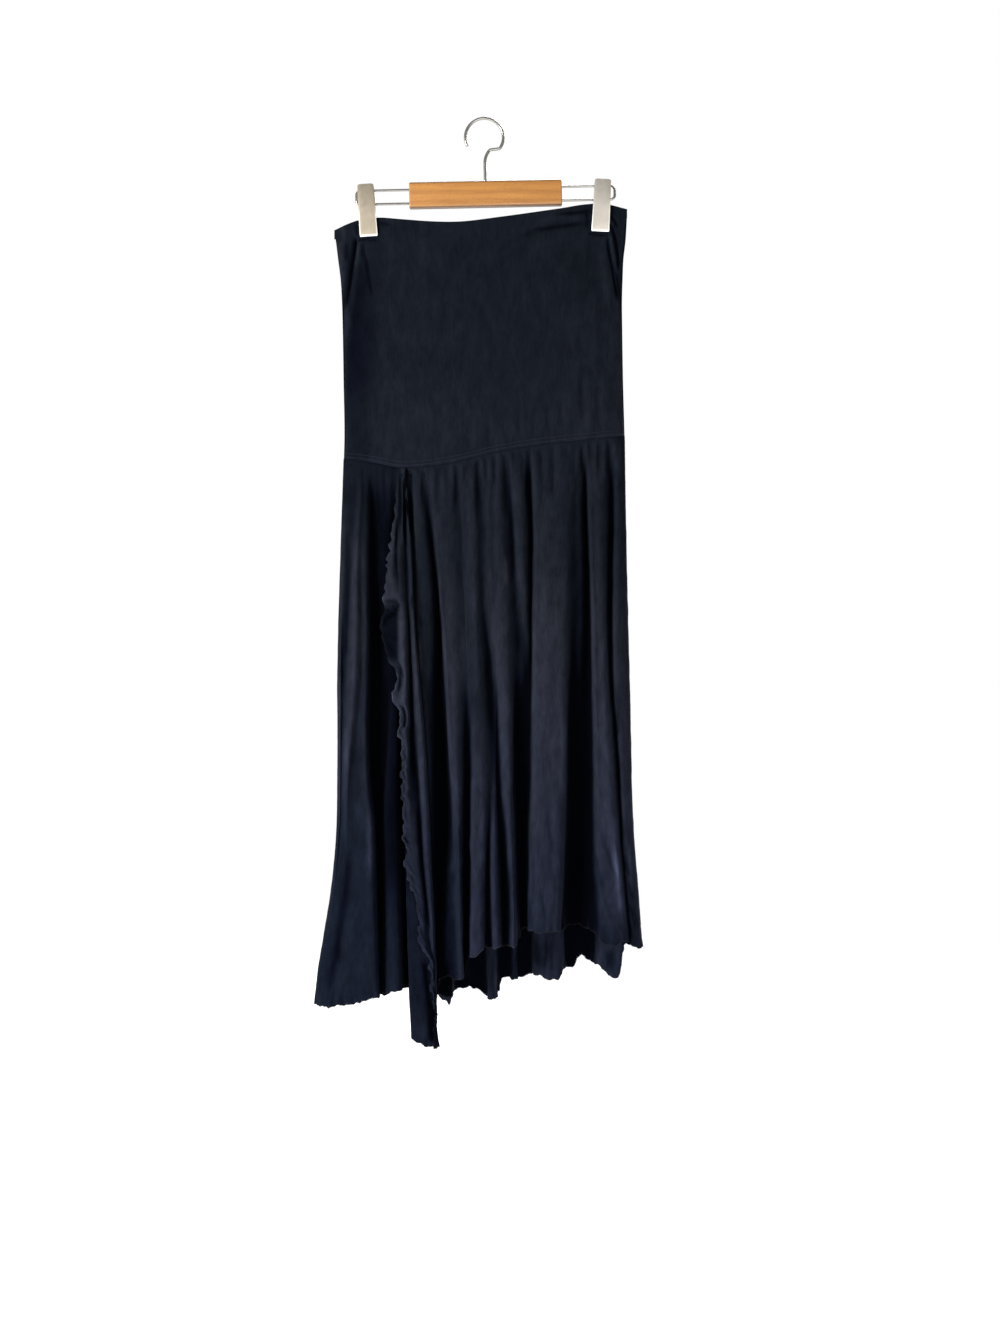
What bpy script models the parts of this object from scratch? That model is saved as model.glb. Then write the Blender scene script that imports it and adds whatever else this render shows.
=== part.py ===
"""A long wrap (sarong) skirt in jersey, hanging from a wooden hanger with two sprung clips.

The row frame: the origin is the inside of the hook's bend, where a rail carries the hanger.
+Z is up, +X is the viewer's right, and the skirt's front faces -Y. Lengths are in metres.

Every cloth piece is one sheet of points, thickened into a wall. The two yoke panels follow
rings worked out from the garment's outline. The three lower panels are smooth sheets
through fold lines: a row of a fold table is one crest or trough, and says where it runs.
"""

import math
from collections import namedtuple

import bmesh
import bpy
import numpy as np
from mathutils import Vector

MM = 0.001

# ---------------------------------------------------------------- driving sizes
CLOTH = 1.5 * MM            # wall of every cloth piece
SEAM_GAP = 0.5 * MM         # between two pieces that are sewn edge to edge
SIDE_GAP = 0.6 * MM         # between the middles of front and back at the side seams
LAP = 2.4 * MM              # from one layer's middle to the next, where two share a seam
GRIP = 1.15 * MM            # a layer's middle from the mid-plane, where a clip holds it
RING_POWER = 3.0            # roundness of a horizontal ring: 2 is an ellipse

HANGER_TILT = -1.2          # degrees about Y: the left end hangs lower
BAR_SIZE = Vector((183 * MM, 13 * MM, 31 * MM))
BAR_DROP = 89.6 * MM        # from the rail down to the bar's middle
BAR_EDGE = 1.6 * MM         # rounding of the bar's edges
RODS_DROP = 90.5 * MM       # from the rail down to midway between the rods
ROD_PITCH = 16.4 * MM
ROD_RADIUS = 1.5 * MM
ROD_REACH = 155 * MM        # from the hanger's middle to the rod loop's end
ROD_CORNER = 4 * MM
BORE_GAP = 0.3 * MM
HOOK_RADIUS = 1.8 * MM      # of the hook's wire
HOOK_BEND = 21 * MM         # inner radius of the hook
HOOK_DEPTH = 4.6 * MM       # how far the stem goes into the bar, above the upper rod

CLIP_TOP_WIDTH = 19.4 * MM  # the jaws widen a little towards their lips
CLIP_LIP_WIDTH = 21.6 * MM
CLIP_SHEET = 1.2 * MM       # thickness of the clips' steel
CLIP_TOP = 16.8 * MM        # from midway between the rods up to the clip's top
CLIP_BOTTOM = -46.2 * MM
TAB_REACH = 8.2 * MM        # from the clip's middle to the outer tabs
TAB_STEP = 1.6 * MM         # the back jaw's tabs stand this much further in
TAB_HOLE = 2.3 * MM         # radius: the clip slides and leans on its rods
SPRING_RADIUS = 3.0 * MM
SPRING_WIRE = 0.5 * MM
SPRING_TURNS = 4

Clip = namedtuple("Clip", "name x lean")
CLIPS = (
    Clip("clip_left", -143 * MM, -2.4),
    Clip("clip_right", 140 * MM, 4.2),
)

# ---------------------------------------------------------------- tables, in millimetres
# The garment's outline at a height: its two sides, how wide each side lies flat, and how
# far the front and back panels stand from the mid-plane.
Ring = namedtuple("Ring", "z left right flat_left flat_right front back")
OUTLINE = (
    Ring(-100, -180, 172, 31, 20, 4, 4),
    Ring(-127, -179, 171, 30, 20, 5, 5),
    Ring(-144, -176, 168, 24, 16, 6.5, 6),
    Ring(-168, -173, 165, 16, 12, 9, 8),
    Ring(-192, -170, 164, 9, 7, 12, 11),
    Ring(-216, -168.5, 164, 4, 3, 14, 13),
    Ring(-252, -167.5, 165, 0, 0, 17, 16),
    Ring(-312, -166.5, 166, 0, 0, 20, 19),
    Ring(-384, -166, 168, 0, 0, 23, 22),
    Ring(-432, -167.5, 168.5, 0, 0, 26, 25),
    Ring(-564, -172, 171, 0, 0, 31, 30),
    Ring(-696, -174.5, 174.5, 0, 0, 37, 35),
    Ring(-840, -175, 178, 0, 0, 43, 41),
    Ring(-888, -177, 181, 0, 0, 44, 42),
    Ring(-936, -184, 185.5, 0, 0, 45, 44),
    Ring(-984, -191.5, 188, 0, 0, 46, 45),
    Ring(-1032, -199, 190, 0, 0, 46, 45),
    Ring(-1068, -201, 191, 0, 0, 46, 45),
)

# Heights of the waist's edge and of the yoke's lower seam, along the width.
Edge = namedtuple("Edge", "x z")
WAIST = (
    Edge(-180, -127), Edge(-152, -119.5), Edge(-128, -118), Edge(-100, -120.5),
    Edge(-64, -123.5), Edge(-34, -124), Edge(20, -118), Edge(56, -113),
    Edge(92, -107.5), Edge(122, -102.5), Edge(140, -101.5), Edge(172, -108.5),
)
SEAM = (
    Edge(-166, -408), Edge(-130, -413.5), Edge(-100, -419.5), Edge(-78, -419),
    Edge(-40, -414), Edge(12, -401.5), Edge(64, -392.5), Edge(116, -386.5),
    Edge(169, -380),
)

# A fold line of a lower panel: x at each height, how far it stands back from the ring
# there, and the height of the hem where the line ends.
Fold = namedtuple("Fold", "x set_back hem")

CASCADE_HEIGHTS = (-432, -564, -696, -888, -984, -1104)
CASCADE = (  # the free edge of the wrap, which falls in an S to the long corner
    Fold((-104, -116, -105, -95, -74, -56), (0, -4, 1, 2, 4, 12), -1112),
    Fold((-101, -106, -98, -87, -71, -57), (-1, -5, -1, -1, 1, 8), -1114),
    Fold((-98, -98, -92, -81, -68, -58), (0, -1, -1, 1, 3, 6), -1115),
    Fold((-95, -90, -86, -75, -66, -59), (2, 6, 10, 8, 7, 7), -1115),
    Fold((-92, -87, -80, -69, -64, -60), (1, 2, 1, 2, 3, 6), -1114),
    Fold((-89, -84, -75, -64, -60, -59), (1, 3, 4, 5, 6, 8), -1111),
    Fold((-86, -82, -75, -64, -60, -60), (3, 8, 11, 11, 12, 13), -1110),
    Fold((-83, -81, -80, -72, -67, -67), (4, 11, 15, 13, 13, 13), -1109),
    Fold((-80, -80, -86, -84, -80, -76), (4, 13, 17, 13, 13, 13), -1107),
    Fold((-77, -79, -89, -93, -92, -85), (4, 14, 19, 15, 14, 14), -1094),
    Fold((-75, -77, -89, -93, -92, -84), (4, 17, 23, 20, 19, 19), -1090),
    Fold((-73, -74, -81, -79, -76, -74), (5, 18, 26, 25, 24, 24), -1074),
    Fold((-71, -69, -71, -65, -64, -63), (5, 18, 27, 28, 28, 28), -1060),
)
WRAP_HEIGHTS = (-432, -696, -888, -984)
WRAP = (  # crests and troughs of the gathered wrap, from the cascade to the right side
    Fold((-66, -62, -60, -57), (5, 26, 29, 30), -1056),
    Fold((-61, -51, -47, -49), (4, 25, 29, 30), -1037),
    Fold((-55, -45, -41, -44), (0, 1, 6, 8), -1037),
    Fold((-33, -31, -28, -25), (0, 0, 0, 0), -1030),
    Fold((-28, -26, -25, -21), (1, 8, 18, 22), -1012),
    Fold((-25, -20, -19, -17), (1, 8, 18, 22), -999),
    Fold((-21, -15, -14, -16), (0, 0, 0, 0), -998),
    Fold((-8, -1, 1, -3), (0, 0, 0, 0), -990),
    Fold((-3, 8, 5, 3), (4, 7, 11, 14), -987),
    Fold((3, 14, 12, 11), (1, 3, 3, 5), -988),
    Fold((16, 19, 22, 21), (3, 4, 8, 11), -986),
    Fold((21, 22, 27, 27), (0, 0, 1, 2), -986),
    Fold((28, 33, 37, 38), (0, 1, 2, 3), -984),
    Fold((33, 39, 40, 41), (4, 14, 24, 27), -978),
    Fold((55, 55, 49, 49), (6, 18, 25, 27), -966),
    Fold((59, 58, 55, 53), (0, 0, 0, 0), -966),
    Fold((82, 79, 75, 74), (-1, -2, -2, -2), -968),
    Fold((106, 99, 97, 96), (0, 0, 0, 0), -967),
    Fold((116, 105, 101, 100), (3, 24, 30, 31), -964),
    Fold((125, 128, 127, 125), (6, 25, 30, 31), -967),
    Fold((130, 133, 135, 137), (0, 0, 0, 0), -977),
    Fold((145, 146, 160, 166), (0, 0, 0, 0), -980),
    Fold((150, 151, 164, 170), (6, 13, 11, 9), -981),
    Fold((154, 155, 169, 173), (6, 12, 9, 7), -983),
    Fold((160, 164, 174, 179), (0, 0, 0, 0), -989),
)
WRAP_SIDE_HEM = -993

UNDER_HEIGHTS = (-432, -576, -696, -888, -1008)
UNDER = (  # the panel under the wrap, from the left side to its own free edge
    Fold((-161, -165, -170, -174, -193), (1, 3, 4, 2, 0), -1061),
    Fold((-150, -157, -161, -168, -184), (0, -1, -3, -1, 0), -1059),
    Fold((-146, -147, -149, -158, -172), (0, 1, 1, 3, 4), -1057),
    Fold((-141, -140, -140, -130, -128), (0, 0, 0, -2, -3), -1047),
    Fold((-135, -136, -135, -127, -124), (3, 20, 28, 25, 24), -1046),
    Fold((-118, -127, -124, -123, -121), (2, 22, 30, 27, 26), -1045),
    Fold((-114, -117, -117, -117, -117), (2, 20, 20, 14, 10), -1045),
    Fold((-109, -107, -106, -104, -103), (3, 20, 20, 14, 10), -1040),
    Fold((-106, -101, -99, -98, -98), (5, 26, 30, 30, 28), -1039),
    Fold((-88, -85, -82, -79, -79), (9, 28, 34, 34, 33), -1041),
    Fold((-64, -62, -60, -60, -60), (9, 28, 34, 35, 35), -1046),
    Fold((-45, -43, -40, -40, -40), (9, 28, 34, 36, 36), -1051),
)
UNDER_SIDE_HEM = -1060

BACK_HEIGHTS = (-432, -696, -984)
BACK = (  # crests and troughs of the back, from the left side to the right
    Fold((-158, -163, -178), (0, 0, 0), -1066),
    Fold((-141, -146, -158), (4, 14, 16), -1066),
    Fold((-124, -127, -134), (0, 0, 0), -1065),
    Fold((-110, -110, -115), (3, 12, 18), -1064),
    Fold((-94, -92, -94), (0, 0, 0), -1064),
    Fold((-79, -76, -74), (0, 0, 0), -1063),
    Fold((-64, -61, -57), (5, 17, 21), -1058),
    Fold((-52, -49, -43), (3, 14, 18), -1065),
    Fold((-38, -34, -28), (0, 0, 0), -1049),
    Fold((-21, -19, -14), (0, 0, 0), -1048),
    Fold((-4, 1, 4), (4, 16, 25), -1056),
    Fold((5, 10, 16), (4, 14, 25), -1048),
    Fold((20, 25, 28), (0, 0, 0), -1036),
    Fold((39, 40, 43), (0, 0, 0), -1036),
    Fold((56, 58, 57), (5, 16, 24), -1031),
    Fold((77, 79, 77), (2, 10, 22), -1033),
    Fold((92, 94, 97), (4, 14, 24), -1024),
    Fold((106, 107, 109), (0, 0, 0), -1022),
    Fold((118, 119, 121), (0, 0, 0), -1010),
    Fold((130, 133, 133), (4, 12, 19), -1015),
    Fold((143, 148, 154), (4, 12, 19), -1029),
    Fold((155, 161, 170), (0, 0, 0), -1006),
)
BACK_SIDE_HEMS = (-1060, -993)

LEVELS = (0, 0.02, 0.06, 0.14, 0.26, 0.4, 0.54, 0.68, 0.8, 0.9, 0.96, 1)  # seam to hem
SIDE_STEPS = (0.975, 0.992, 1.0)   # parts of a ring's half width, at a side seam
CRISPNESS = 0.6                    # 0 rounds the folds off, 1 takes them through each line

NAVY_JERSEY = ("navy_jersey", (0.011, 0.013, 0.021), 0.85, 0.0)
BEECH = ("varnished_beech", (0.55, 0.27, 0.085), 0.35, 0.0)
CHROME = ("bright_chrome", (0.72, 0.70, 0.66), 0.18, 1.0)


# ---------------------------------------------------------------- curves through tables
def through(at, places, values):
    """A smooth curve through the table's values, straight beyond its ends."""
    at = np.asarray(at, float)
    places = np.asarray(places, float)
    values = np.asarray(values, float)
    if places[0] > places[-1]:
        places, values = places[::-1], values[::-1]
    slopes = np.gradient(values, places)
    k = np.clip(np.searchsorted(places, at) - 1, 0, len(places) - 2)
    span = places[k + 1] - places[k]
    t = np.clip((at - places[k]) / span, 0, 1)
    inside = (
        values[k] * (1 + 2 * t) * (1 - t) ** 2
        + values[k + 1] * t**2 * (3 - 2 * t)
        + span * (slopes[k] * t * (1 - t) ** 2 - slopes[k + 1] * t**2 * (1 - t))
    )
    below = np.minimum(at - places[0], 0) * slopes[0]
    above = np.maximum(at - places[-1], 0) * slopes[-1]
    return inside + below + above


def edge_height(edge, x):
    """The height of the waist or of the seam at x, in millimetres."""
    return through(x, [e.x for e in edge], [e.z for e in edge])


def ring_at(z):
    """The outline's columns at height z, each an array as long as z."""
    heights = [r.z for r in OUTLINE]
    columns = [through(z, heights, [r[i] for r in OUTLINE]) for i in range(1, 7)]
    columns[2:4] = [np.maximum(c, 0) for c in columns[2:4]]
    return Ring(z, *columns)


def ring_depth(x, z, side):
    """How far a ring stands from the mid-plane at x: front if side is -1, back if +1."""
    ring = ring_at(z)
    depth = ring.front if side < 0 else ring.back
    low = ring.left + ring.flat_left
    high = ring.right - ring.flat_right
    along = np.clip((2 * x - low - high) / (high - low), -1, 1)
    flat = np.minimum((ring.flat_left + ring.flat_right) / 8, 1)
    least = SIDE_GAP / MM / 2 + (GRIP - SIDE_GAP / 2) / MM * flat
    return least + (depth - least) * (1 - np.abs(along) ** RING_POWER) ** (1 / RING_POWER)


# ---------------------------------------------------------------- sheets of points
def spline_weights(count, samples, crispness):
    """Weights that turn `count` control points into points of a smooth curve."""
    weights = np.zeros((samples, count + 2))
    for row, t in enumerate(np.linspace(0, count - 1, samples)):
        i = min(int(t), count - 2)
        f = t - i
        rounded = np.array((
            (1 - f) ** 3,
            3 * f**3 - 6 * f**2 + 4,
            -3 * f**3 + 3 * f**2 + 3 * f + 1,
            f**3,
        )) / 6
        through_points = np.array((
            -f + 2 * f**2 - f**3,
            2 - 5 * f**2 + 3 * f**3,
            f + 4 * f**2 - 3 * f**3,
            -(f**2) + f**3,
        )) / 2
        weights[row, i : i + 4] = rounded + crispness * (through_points - rounded)
    inner = weights[:, 1:-1]
    for end, first, second in ((0, 0, 1), (-1, -1, -2)):
        inner[:, first] += 2 * weights[:, end]
        inner[:, second] -= weights[:, end]
    return inner


def fold_column(fold, heights, side, set_back_at_seam=0.0):
    """A fold line from seam to hem, as control points."""
    seam = edge_height(SEAM, fold.x[0]) - SEAM_GAP / MM / 2
    z = seam + (fold.hem - seam) * np.array(LEVELS)
    x = through(z, heights, fold.x)
    back = through(z, heights, fold.set_back)
    drop = np.clip((seam - z) / (seam - heights[0] + 14), 0, 1)
    back = set_back_at_seam + (back - set_back_at_seam) * drop**1.5
    back[:2] = set_back_at_seam
    x[:2] = x[2] + (x[0] - x[2]) * np.array((0, 0.5))
    y = side * (ring_depth(x, z, side) - back)
    return np.stack([x, y, z], 1)


def side_column(part, hem, side, end):
    """A line of the ring beside a side seam: end is -1 on the left and +1 on the right."""
    seam = edge_height(SEAM, end * 167.0) - SEAM_GAP / MM / 2
    z = seam + (hem - seam) * np.array(LEVELS)
    ring = ring_at(z)
    middle, half = (ring.left + ring.right) / 2, (ring.right - ring.left) / 2
    x = middle + end * part * half
    return np.stack([x, side * ring_depth(x, z, side), z], 1)


def lower_sheet(columns, side, across, down, laps=0.0):
    """A smooth sheet through the columns' control points, hung from the seam, in metres."""
    control = np.array(columns)
    wide = spline_weights(len(control), across, CRISPNESS)
    tall = spline_weights(control.shape[1], down, 0.0)
    points = np.einsum("ai,ijk,dj->dak", wide, control, tall)
    top = points[0]
    seam = edge_height(SEAM, top[:, 0]) - SEAM_GAP / MM / 2
    laps = wide @ np.broadcast_to(laps, len(control))
    stand = side * (ring_depth(top[:, 0], seam, side) - laps)
    shift = np.stack([0 * seam, stand - top[:, 1], seam - top[:, 2]], 1)
    fade = (1 - np.linspace(0, 1, down)) ** 6
    return (points + fade[:, None, None] * shift) * MM


def wrap_sheet(across, down):
    """The gathered wrap, from its free edge to the right side seam."""
    columns = [fold_column(f, CASCADE_HEIGHTS, -1) for f in CASCADE]
    columns += [fold_column(f, WRAP_HEIGHTS, -1) for f in WRAP]
    columns += [side_column(part, WRAP_SIDE_HEM, -1, 1) for part in SIDE_STEPS]
    return lower_sheet(columns, -1, across, down)


def under_sheet(across, down):
    """The panel under the wrap: it passes behind the wrap's free edge."""
    columns = [side_column(part, UNDER_SIDE_HEM, -1, -1) for part in SIDE_STEPS[::-1]]
    laps = [0.0] * len(SIDE_STEPS)
    laps += [LAP / MM * np.clip((fold.x[0] + 112) / 6, 0, 1) for fold in UNDER]
    for fold, behind in zip(UNDER, laps[len(SIDE_STEPS):]):
        columns.append(fold_column(fold, UNDER_HEIGHTS, -1, behind))
    return lower_sheet(columns, -1, across, down, laps)


def back_sheet(across, down):
    """The gathered back, from the left side seam to the right."""
    left, right = BACK_SIDE_HEMS
    columns = [side_column(part, left, 1, -1) for part in SIDE_STEPS[::-1]]
    columns += [fold_column(f, BACK_HEIGHTS, 1) for f in BACK]
    columns += [side_column(part, right, 1, 1) for part in SIDE_STEPS]
    return lower_sheet(columns, 1, across, down)


def grip_share(x, z):
    """1 where a clip holds the cloth flat, falling to 0 around and below it."""
    share = np.zeros_like(x)
    for clip in CLIPS:
        across = np.clip((np.abs(x - clip.x / MM - 1.9) - 19) / 60, 0, 1)
        below = np.clip((-162 - z) / 90, 0, 1)
        share = np.maximum(share, (1 - across**0.8) * (1 - below) ** 2)
    return share


def yoke_sheet(side, across, down):
    """The front or back of the wide yoke, from the waist to the lower seam."""
    even = np.linspace(-1, 1, across)
    part = 0.5 + np.sign(even) * (1 - (1 - np.abs(even)) ** 1.7) / 2
    level = np.linspace(0, 1, down)[:, None]
    x = OUTLINE[1].left + (OUTLINE[1].right - OUTLINE[1].left) * part
    low_x = OUTLINE[8].left + (OUTLINE[8].right - OUTLINE[8].left) * part
    top = edge_height(WAIST, x) - (1.5 if side > 0 else 0)
    bottom = edge_height(SEAM, low_x) + SEAM_GAP / MM / 2
    z = top + (bottom - top) * level
    ring = ring_at(z)
    x = ring.left + (ring.right - ring.left) * part
    depth = ring_depth(x, z, side)
    share = grip_share(x, z)
    depth = depth + (np.minimum(depth, GRIP / MM) - depth) * share
    return np.stack([x, side * depth, z], 2) * MM


# ---------------------------------------------------------------- Blender objects
def finish_of(look):
    """The material of a look: its name, base colour, roughness and metallic value."""
    name, colour, roughness, metallic = look
    material = bpy.data.materials.get(name)
    if material is None:
        material = bpy.data.materials.new(name)
        material.use_nodes = True
        shader = material.node_tree.nodes["Principled BSDF"]
        shader.inputs["Base Color"].default_value = (*colour, 1)
        shader.inputs["Roughness"].default_value = roughness
        shader.inputs["Metallic"].default_value = metallic
    return material


def add_object(name, data, look, parent=None, collection="skirt_on_clip_hanger"):
    """An object of the part, or of another collection, with its material and parent."""
    piece = bpy.data.objects.new(name, data)
    bpy.data.collections[collection].objects.link(piece)
    piece.parent = parent
    if look:
        data.materials.append(finish_of(look))
    return piece


def cloth_panel(name, points, outward):
    """A wall of cloth about a sheet of points; outward is -1 at the front, +1 behind."""
    down, across = points.shape[:2]
    mesh = bmesh.new()
    grid = [[mesh.verts.new(p) for p in row] for row in points]
    for i in range(down - 1):
        for j in range(across - 1):
            face = [grid[i][j], grid[i + 1][j], grid[i + 1][j + 1], grid[i][j + 1]]
            mesh.faces.new(face if outward < 0 else face[::-1])
    data = bpy.data.meshes.new(name)
    mesh.to_mesh(data)
    mesh.free()
    data.shade_smooth()
    panel = add_object(name, data, NAVY_JERSEY)
    wall = panel.modifiers.new("wall", "SOLIDIFY")
    wall.thickness = CLOTH
    wall.offset = 0
    return panel


def box(name, size, place, parent, look=None, collection="cutters", edge=0.0):
    """A box about a place, its edges rounded if edge is given."""
    mesh = bmesh.new()
    bmesh.ops.create_cube(mesh, size=1)
    bmesh.ops.scale(mesh, vec=size, verts=mesh.verts)
    data = bpy.data.meshes.new(name)
    mesh.to_mesh(data)
    mesh.free()
    piece = add_object(name, data, look, parent, collection)
    piece.location = place
    if edge:
        rounding = piece.modifiers.new("rounding", "BEVEL")
        rounding.width = edge
        rounding.segments = 2
    return piece


def drill(name, radius, length, place, parent, axis="X", sides=16):
    """A cylinder that cuts a bore along X or Z."""
    mesh = bmesh.new()
    bmesh.ops.create_cone(
        mesh, cap_ends=True, segments=sides, radius1=radius, radius2=radius, depth=length
    )
    data = bpy.data.meshes.new(name)
    mesh.to_mesh(data)
    mesh.free()
    tool = add_object(name, data, None, parent, "cutters")
    tool.location = place
    tool.rotation_euler[1] = math.pi / 2 if axis == "X" else 0
    return tool


def combine(target, tool, operation):
    """Joins a tool to the target or cuts it away, and keeps the tool out of sight."""
    step = target.modifiers.new(tool.name, "BOOLEAN")
    step.operation = operation
    step.object = tool
    tool.hide_render = True
    tool.display_type = "WIRE"


def wire(name, points, radius, look, parent, closed=False, sides_step=2):
    """A round wire along a line of points."""
    curve = bpy.data.curves.new(name, "CURVE")
    curve.dimensions = "3D"
    curve.bevel_depth = radius
    curve.bevel_resolution = sides_step
    curve.use_fill_caps = not closed
    spline = curve.splines.new("POLY")
    spline.points.add(len(points) - 1)
    for point, place in zip(spline.points, points):
        point.co = (*place, 1)
    spline.use_cyclic_u = closed
    return add_object(name, curve, look, parent)


def arc(centre, radius, start, stop, count):
    """Points of an arc in the XZ plane; angles are in degrees from +X."""
    return [
        Vector((centre[0] + radius * math.cos(a), 0, centre[1] + radius * math.sin(a)))
        for a in np.radians(np.linspace(start, stop, count))
    ]


# ---------------------------------------------------------------- the hanger
def rod_loop(parent):
    """Both rods, which are one wire bent into a long flat loop."""
    high = -RODS_DROP + ROD_PITCH / 2
    low = -RODS_DROP - ROD_PITCH / 2
    x, r = ROD_REACH - ROD_CORNER, ROD_CORNER
    points = []
    corners = ((x, high - r, 90), (x, low + r, 0), (-x, low + r, -90), (-x, high - r, -180))
    for cx, cz, start in corners:
        points += arc((cx, cz), r, start, start - 90, 5)
    return wire("hanger_rods", points, ROD_RADIUS, CHROME, parent, closed=True)


def hook(parent):
    """The hook: a stem out of the bar that bends over the rail at the origin."""
    reach = HOOK_BEND + HOOK_RADIUS
    foot = -BAR_DROP + BAR_SIZE.z / 2 - HOOK_DEPTH
    neck = -HOOK_BEND - 32 * MM
    stem = [Vector((0, 0, foot)), Vector((0, 0, neck))]
    start = math.degrees(math.asin(reach / (2 * reach)))
    sweep = arc((reach, neck + 1 * MM), reach, 180, 180 - start * 2.1, 6)[1:]
    bend = arc((0, -HOOK_BEND), reach, -38, 205, 18)
    joined = stem + [p for p in sweep if p.z < bend[0].z - 1 * MM] + bend
    return wire("hanger_hook", joined, HOOK_RADIUS, CHROME, parent)


def wooden_bar(parent):
    """The beech bar, bored along its length for the rods and from above for the hook."""
    place = Vector((0, 0, -BAR_DROP))
    bar = box(
        "hanger_bar", BAR_SIZE, place, parent, BEECH, "skirt_on_clip_hanger", BAR_EDGE
    )
    for side in (-1, 1):
        bore = drill(
            f"rod_bore_{side}", ROD_RADIUS + BORE_GAP, BAR_SIZE.x + 10 * MM,
            Vector((0, 0, -RODS_DROP + side * ROD_PITCH / 2)), parent,
        )
        combine(bar, bore, "DIFFERENCE")
    depth = HOOK_DEPTH + 0.5 * MM
    top = -BAR_DROP + BAR_SIZE.z / 2
    socket = drill(
        "hook_bore", HOOK_RADIUS + BORE_GAP, depth + 2 * MM,
        Vector((0, 0, top - depth / 2 + 1 * MM)), parent, axis="Z",
    )
    combine(bar, socket, "DIFFERENCE")
    return bar


def jaw(clip, side, parent):
    """A clip's front or back jaw: a bent plate with two tabs that ride on the rods."""
    lip = GRIP + CLOTH / 2 + BORE_GAP + CLIP_SHEET / 2
    bow = lip + 3.4 * MM
    heights = (CLIP_BOTTOM, CLIP_BOTTOM + 4 * MM, -16 * MM, 8 * MM, CLIP_TOP)
    stand = (lip, lip, bow, bow, bow + 1.2 * MM)
    mesh = bmesh.new()
    rows = []
    for z, y in zip(heights, stand):
        share = (z - CLIP_BOTTOM) / (CLIP_TOP - CLIP_BOTTOM)
        half = (CLIP_LIP_WIDTH + (CLIP_TOP_WIDTH - CLIP_LIP_WIDTH) * share) / 2
        rows.append([mesh.verts.new((x, side * y, z)) for x in (-half, half)])
    for (a, b), (c, d) in zip(rows, rows[1:]):
        mesh.faces.new((a, b, d, c) if side < 0 else (a, c, d, b))
    word = "front" if side < 0 else "back"
    data = bpy.data.meshes.new(f"{clip.name}_{word}_jaw")
    mesh.to_mesh(data)
    mesh.free()
    plate = add_object(data.name, data, CHROME, parent)
    wall = plate.modifiers.new("sheet", "SOLIDIFY")
    wall.thickness = CLIP_SHEET
    wall.offset = 0

    holds_both = side < 0
    reach = TAB_REACH if holds_both else TAB_REACH - TAB_STEP
    top = ROD_PITCH / 2 + 4 * MM if holds_both else -ROD_PITCH / 2 + 4 * MM
    bottom = -ROD_PITCH / 2 - 4 * MM
    size = Vector((CLIP_SHEET, bow + 3.6 * MM, top - bottom))
    rods = (-1, 1) if holds_both else (-1,)
    for end in (-1, 1):
        place = Vector((end * reach, side * (bow - 3.6 * MM) / 2, (top + bottom) / 2))
        combine(plate, box(f"{data.name}_tab_{end}", size, place, parent), "UNION")
    for rod in rods:
        hole = drill(
            f"{data.name}_hole_{rod}", TAB_HOLE, CLIP_LIP_WIDTH * 1.5,
            Vector((0, 0, rod * ROD_PITCH / 2)), parent,
        )
        combine(plate, hole, "DIFFERENCE")
    return plate


def spring(clip, parent):
    """The coil around the lower rod, whose two legs press the jaws shut."""
    length = 2 * (TAB_REACH - TAB_STEP) - 4 * MM
    axis_z = -ROD_PITCH / 2
    turns = np.linspace(0, SPRING_TURNS, SPRING_TURNS * 8 + 1)
    coil = [
        Vector((
            -length / 2 + length * t / SPRING_TURNS,
            -SPRING_RADIUS * math.cos(2 * math.pi * t),
            axis_z - SPRING_RADIUS * math.sin(2 * math.pi * t),
        ))
        for t in turns
    ]
    return wire(
        f"{clip.name}_spring", coil, SPRING_WIRE, CHROME, parent, sides_step=1
    )


def empty(name, place, turn_about_y, parent=None):
    """A frame that pieces are placed in."""
    frame = bpy.data.objects.new(name, None)
    bpy.data.collections["skirt_on_clip_hanger"].objects.link(frame)
    frame.location = place
    frame.rotation_euler[1] = math.radians(turn_about_y)
    frame.parent = parent
    return frame


def build_hanger():
    """The bar, rods, hook and both clips, all turned about the rail by the tilt."""
    hanger = empty("hanger_frame", Vector(), HANGER_TILT)
    wooden_bar(hanger)
    rod_loop(hanger)
    hook(hanger)
    for clip in CLIPS:
        place = Vector((clip.x, 0, -RODS_DROP))
        frame = empty(f"{clip.name}_frame", place, clip.lean, hanger)
        jaw(clip, -1, frame)
        jaw(clip, 1, frame)
        spring(clip, frame)


def build_skirt():
    """The five cut pieces of the skirt."""
    cloth_panel("yoke_front", yoke_sheet(-1, 33, 10), -1)
    cloth_panel("yoke_back", yoke_sheet(1, 33, 10), 1)
    cloth_panel("wrap_front", wrap_sheet(79, 12), -1)
    cloth_panel("under_front", under_sheet(29, 11), -1)
    cloth_panel("skirt_back", back_sheet(45, 10), 1)


def main():
    """Builds the part in an empty scene."""
    for old in list(bpy.data.objects):
        bpy.data.objects.remove(old)
    for name in ("skirt_on_clip_hanger", "cutters"):
        collection = bpy.data.collections.new(name)
        bpy.context.scene.collection.children.link(collection)
    build_hanger()
    build_skirt()


main()
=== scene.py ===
"""Looks of a long jersey wrap skirt that hangs from a wooden hanger with two sprung clips.

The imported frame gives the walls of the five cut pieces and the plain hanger. Here each wall is
replaced by a thin jersey shell on the same form, with its finer folds, gathers and curled
hems, and the hanger's pieces by finished ones. Lengths in the tables are millimetres in the
frame's own axes: +X to the right, -Y to the front, +Z up, from the hook's bend.
"""

import logging
import math
from collections.abc import Callable
from dataclasses import dataclass
from enum import Enum

import bmesh
import bpy
import numpy as np
from mathutils import Matrix, Vector


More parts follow.
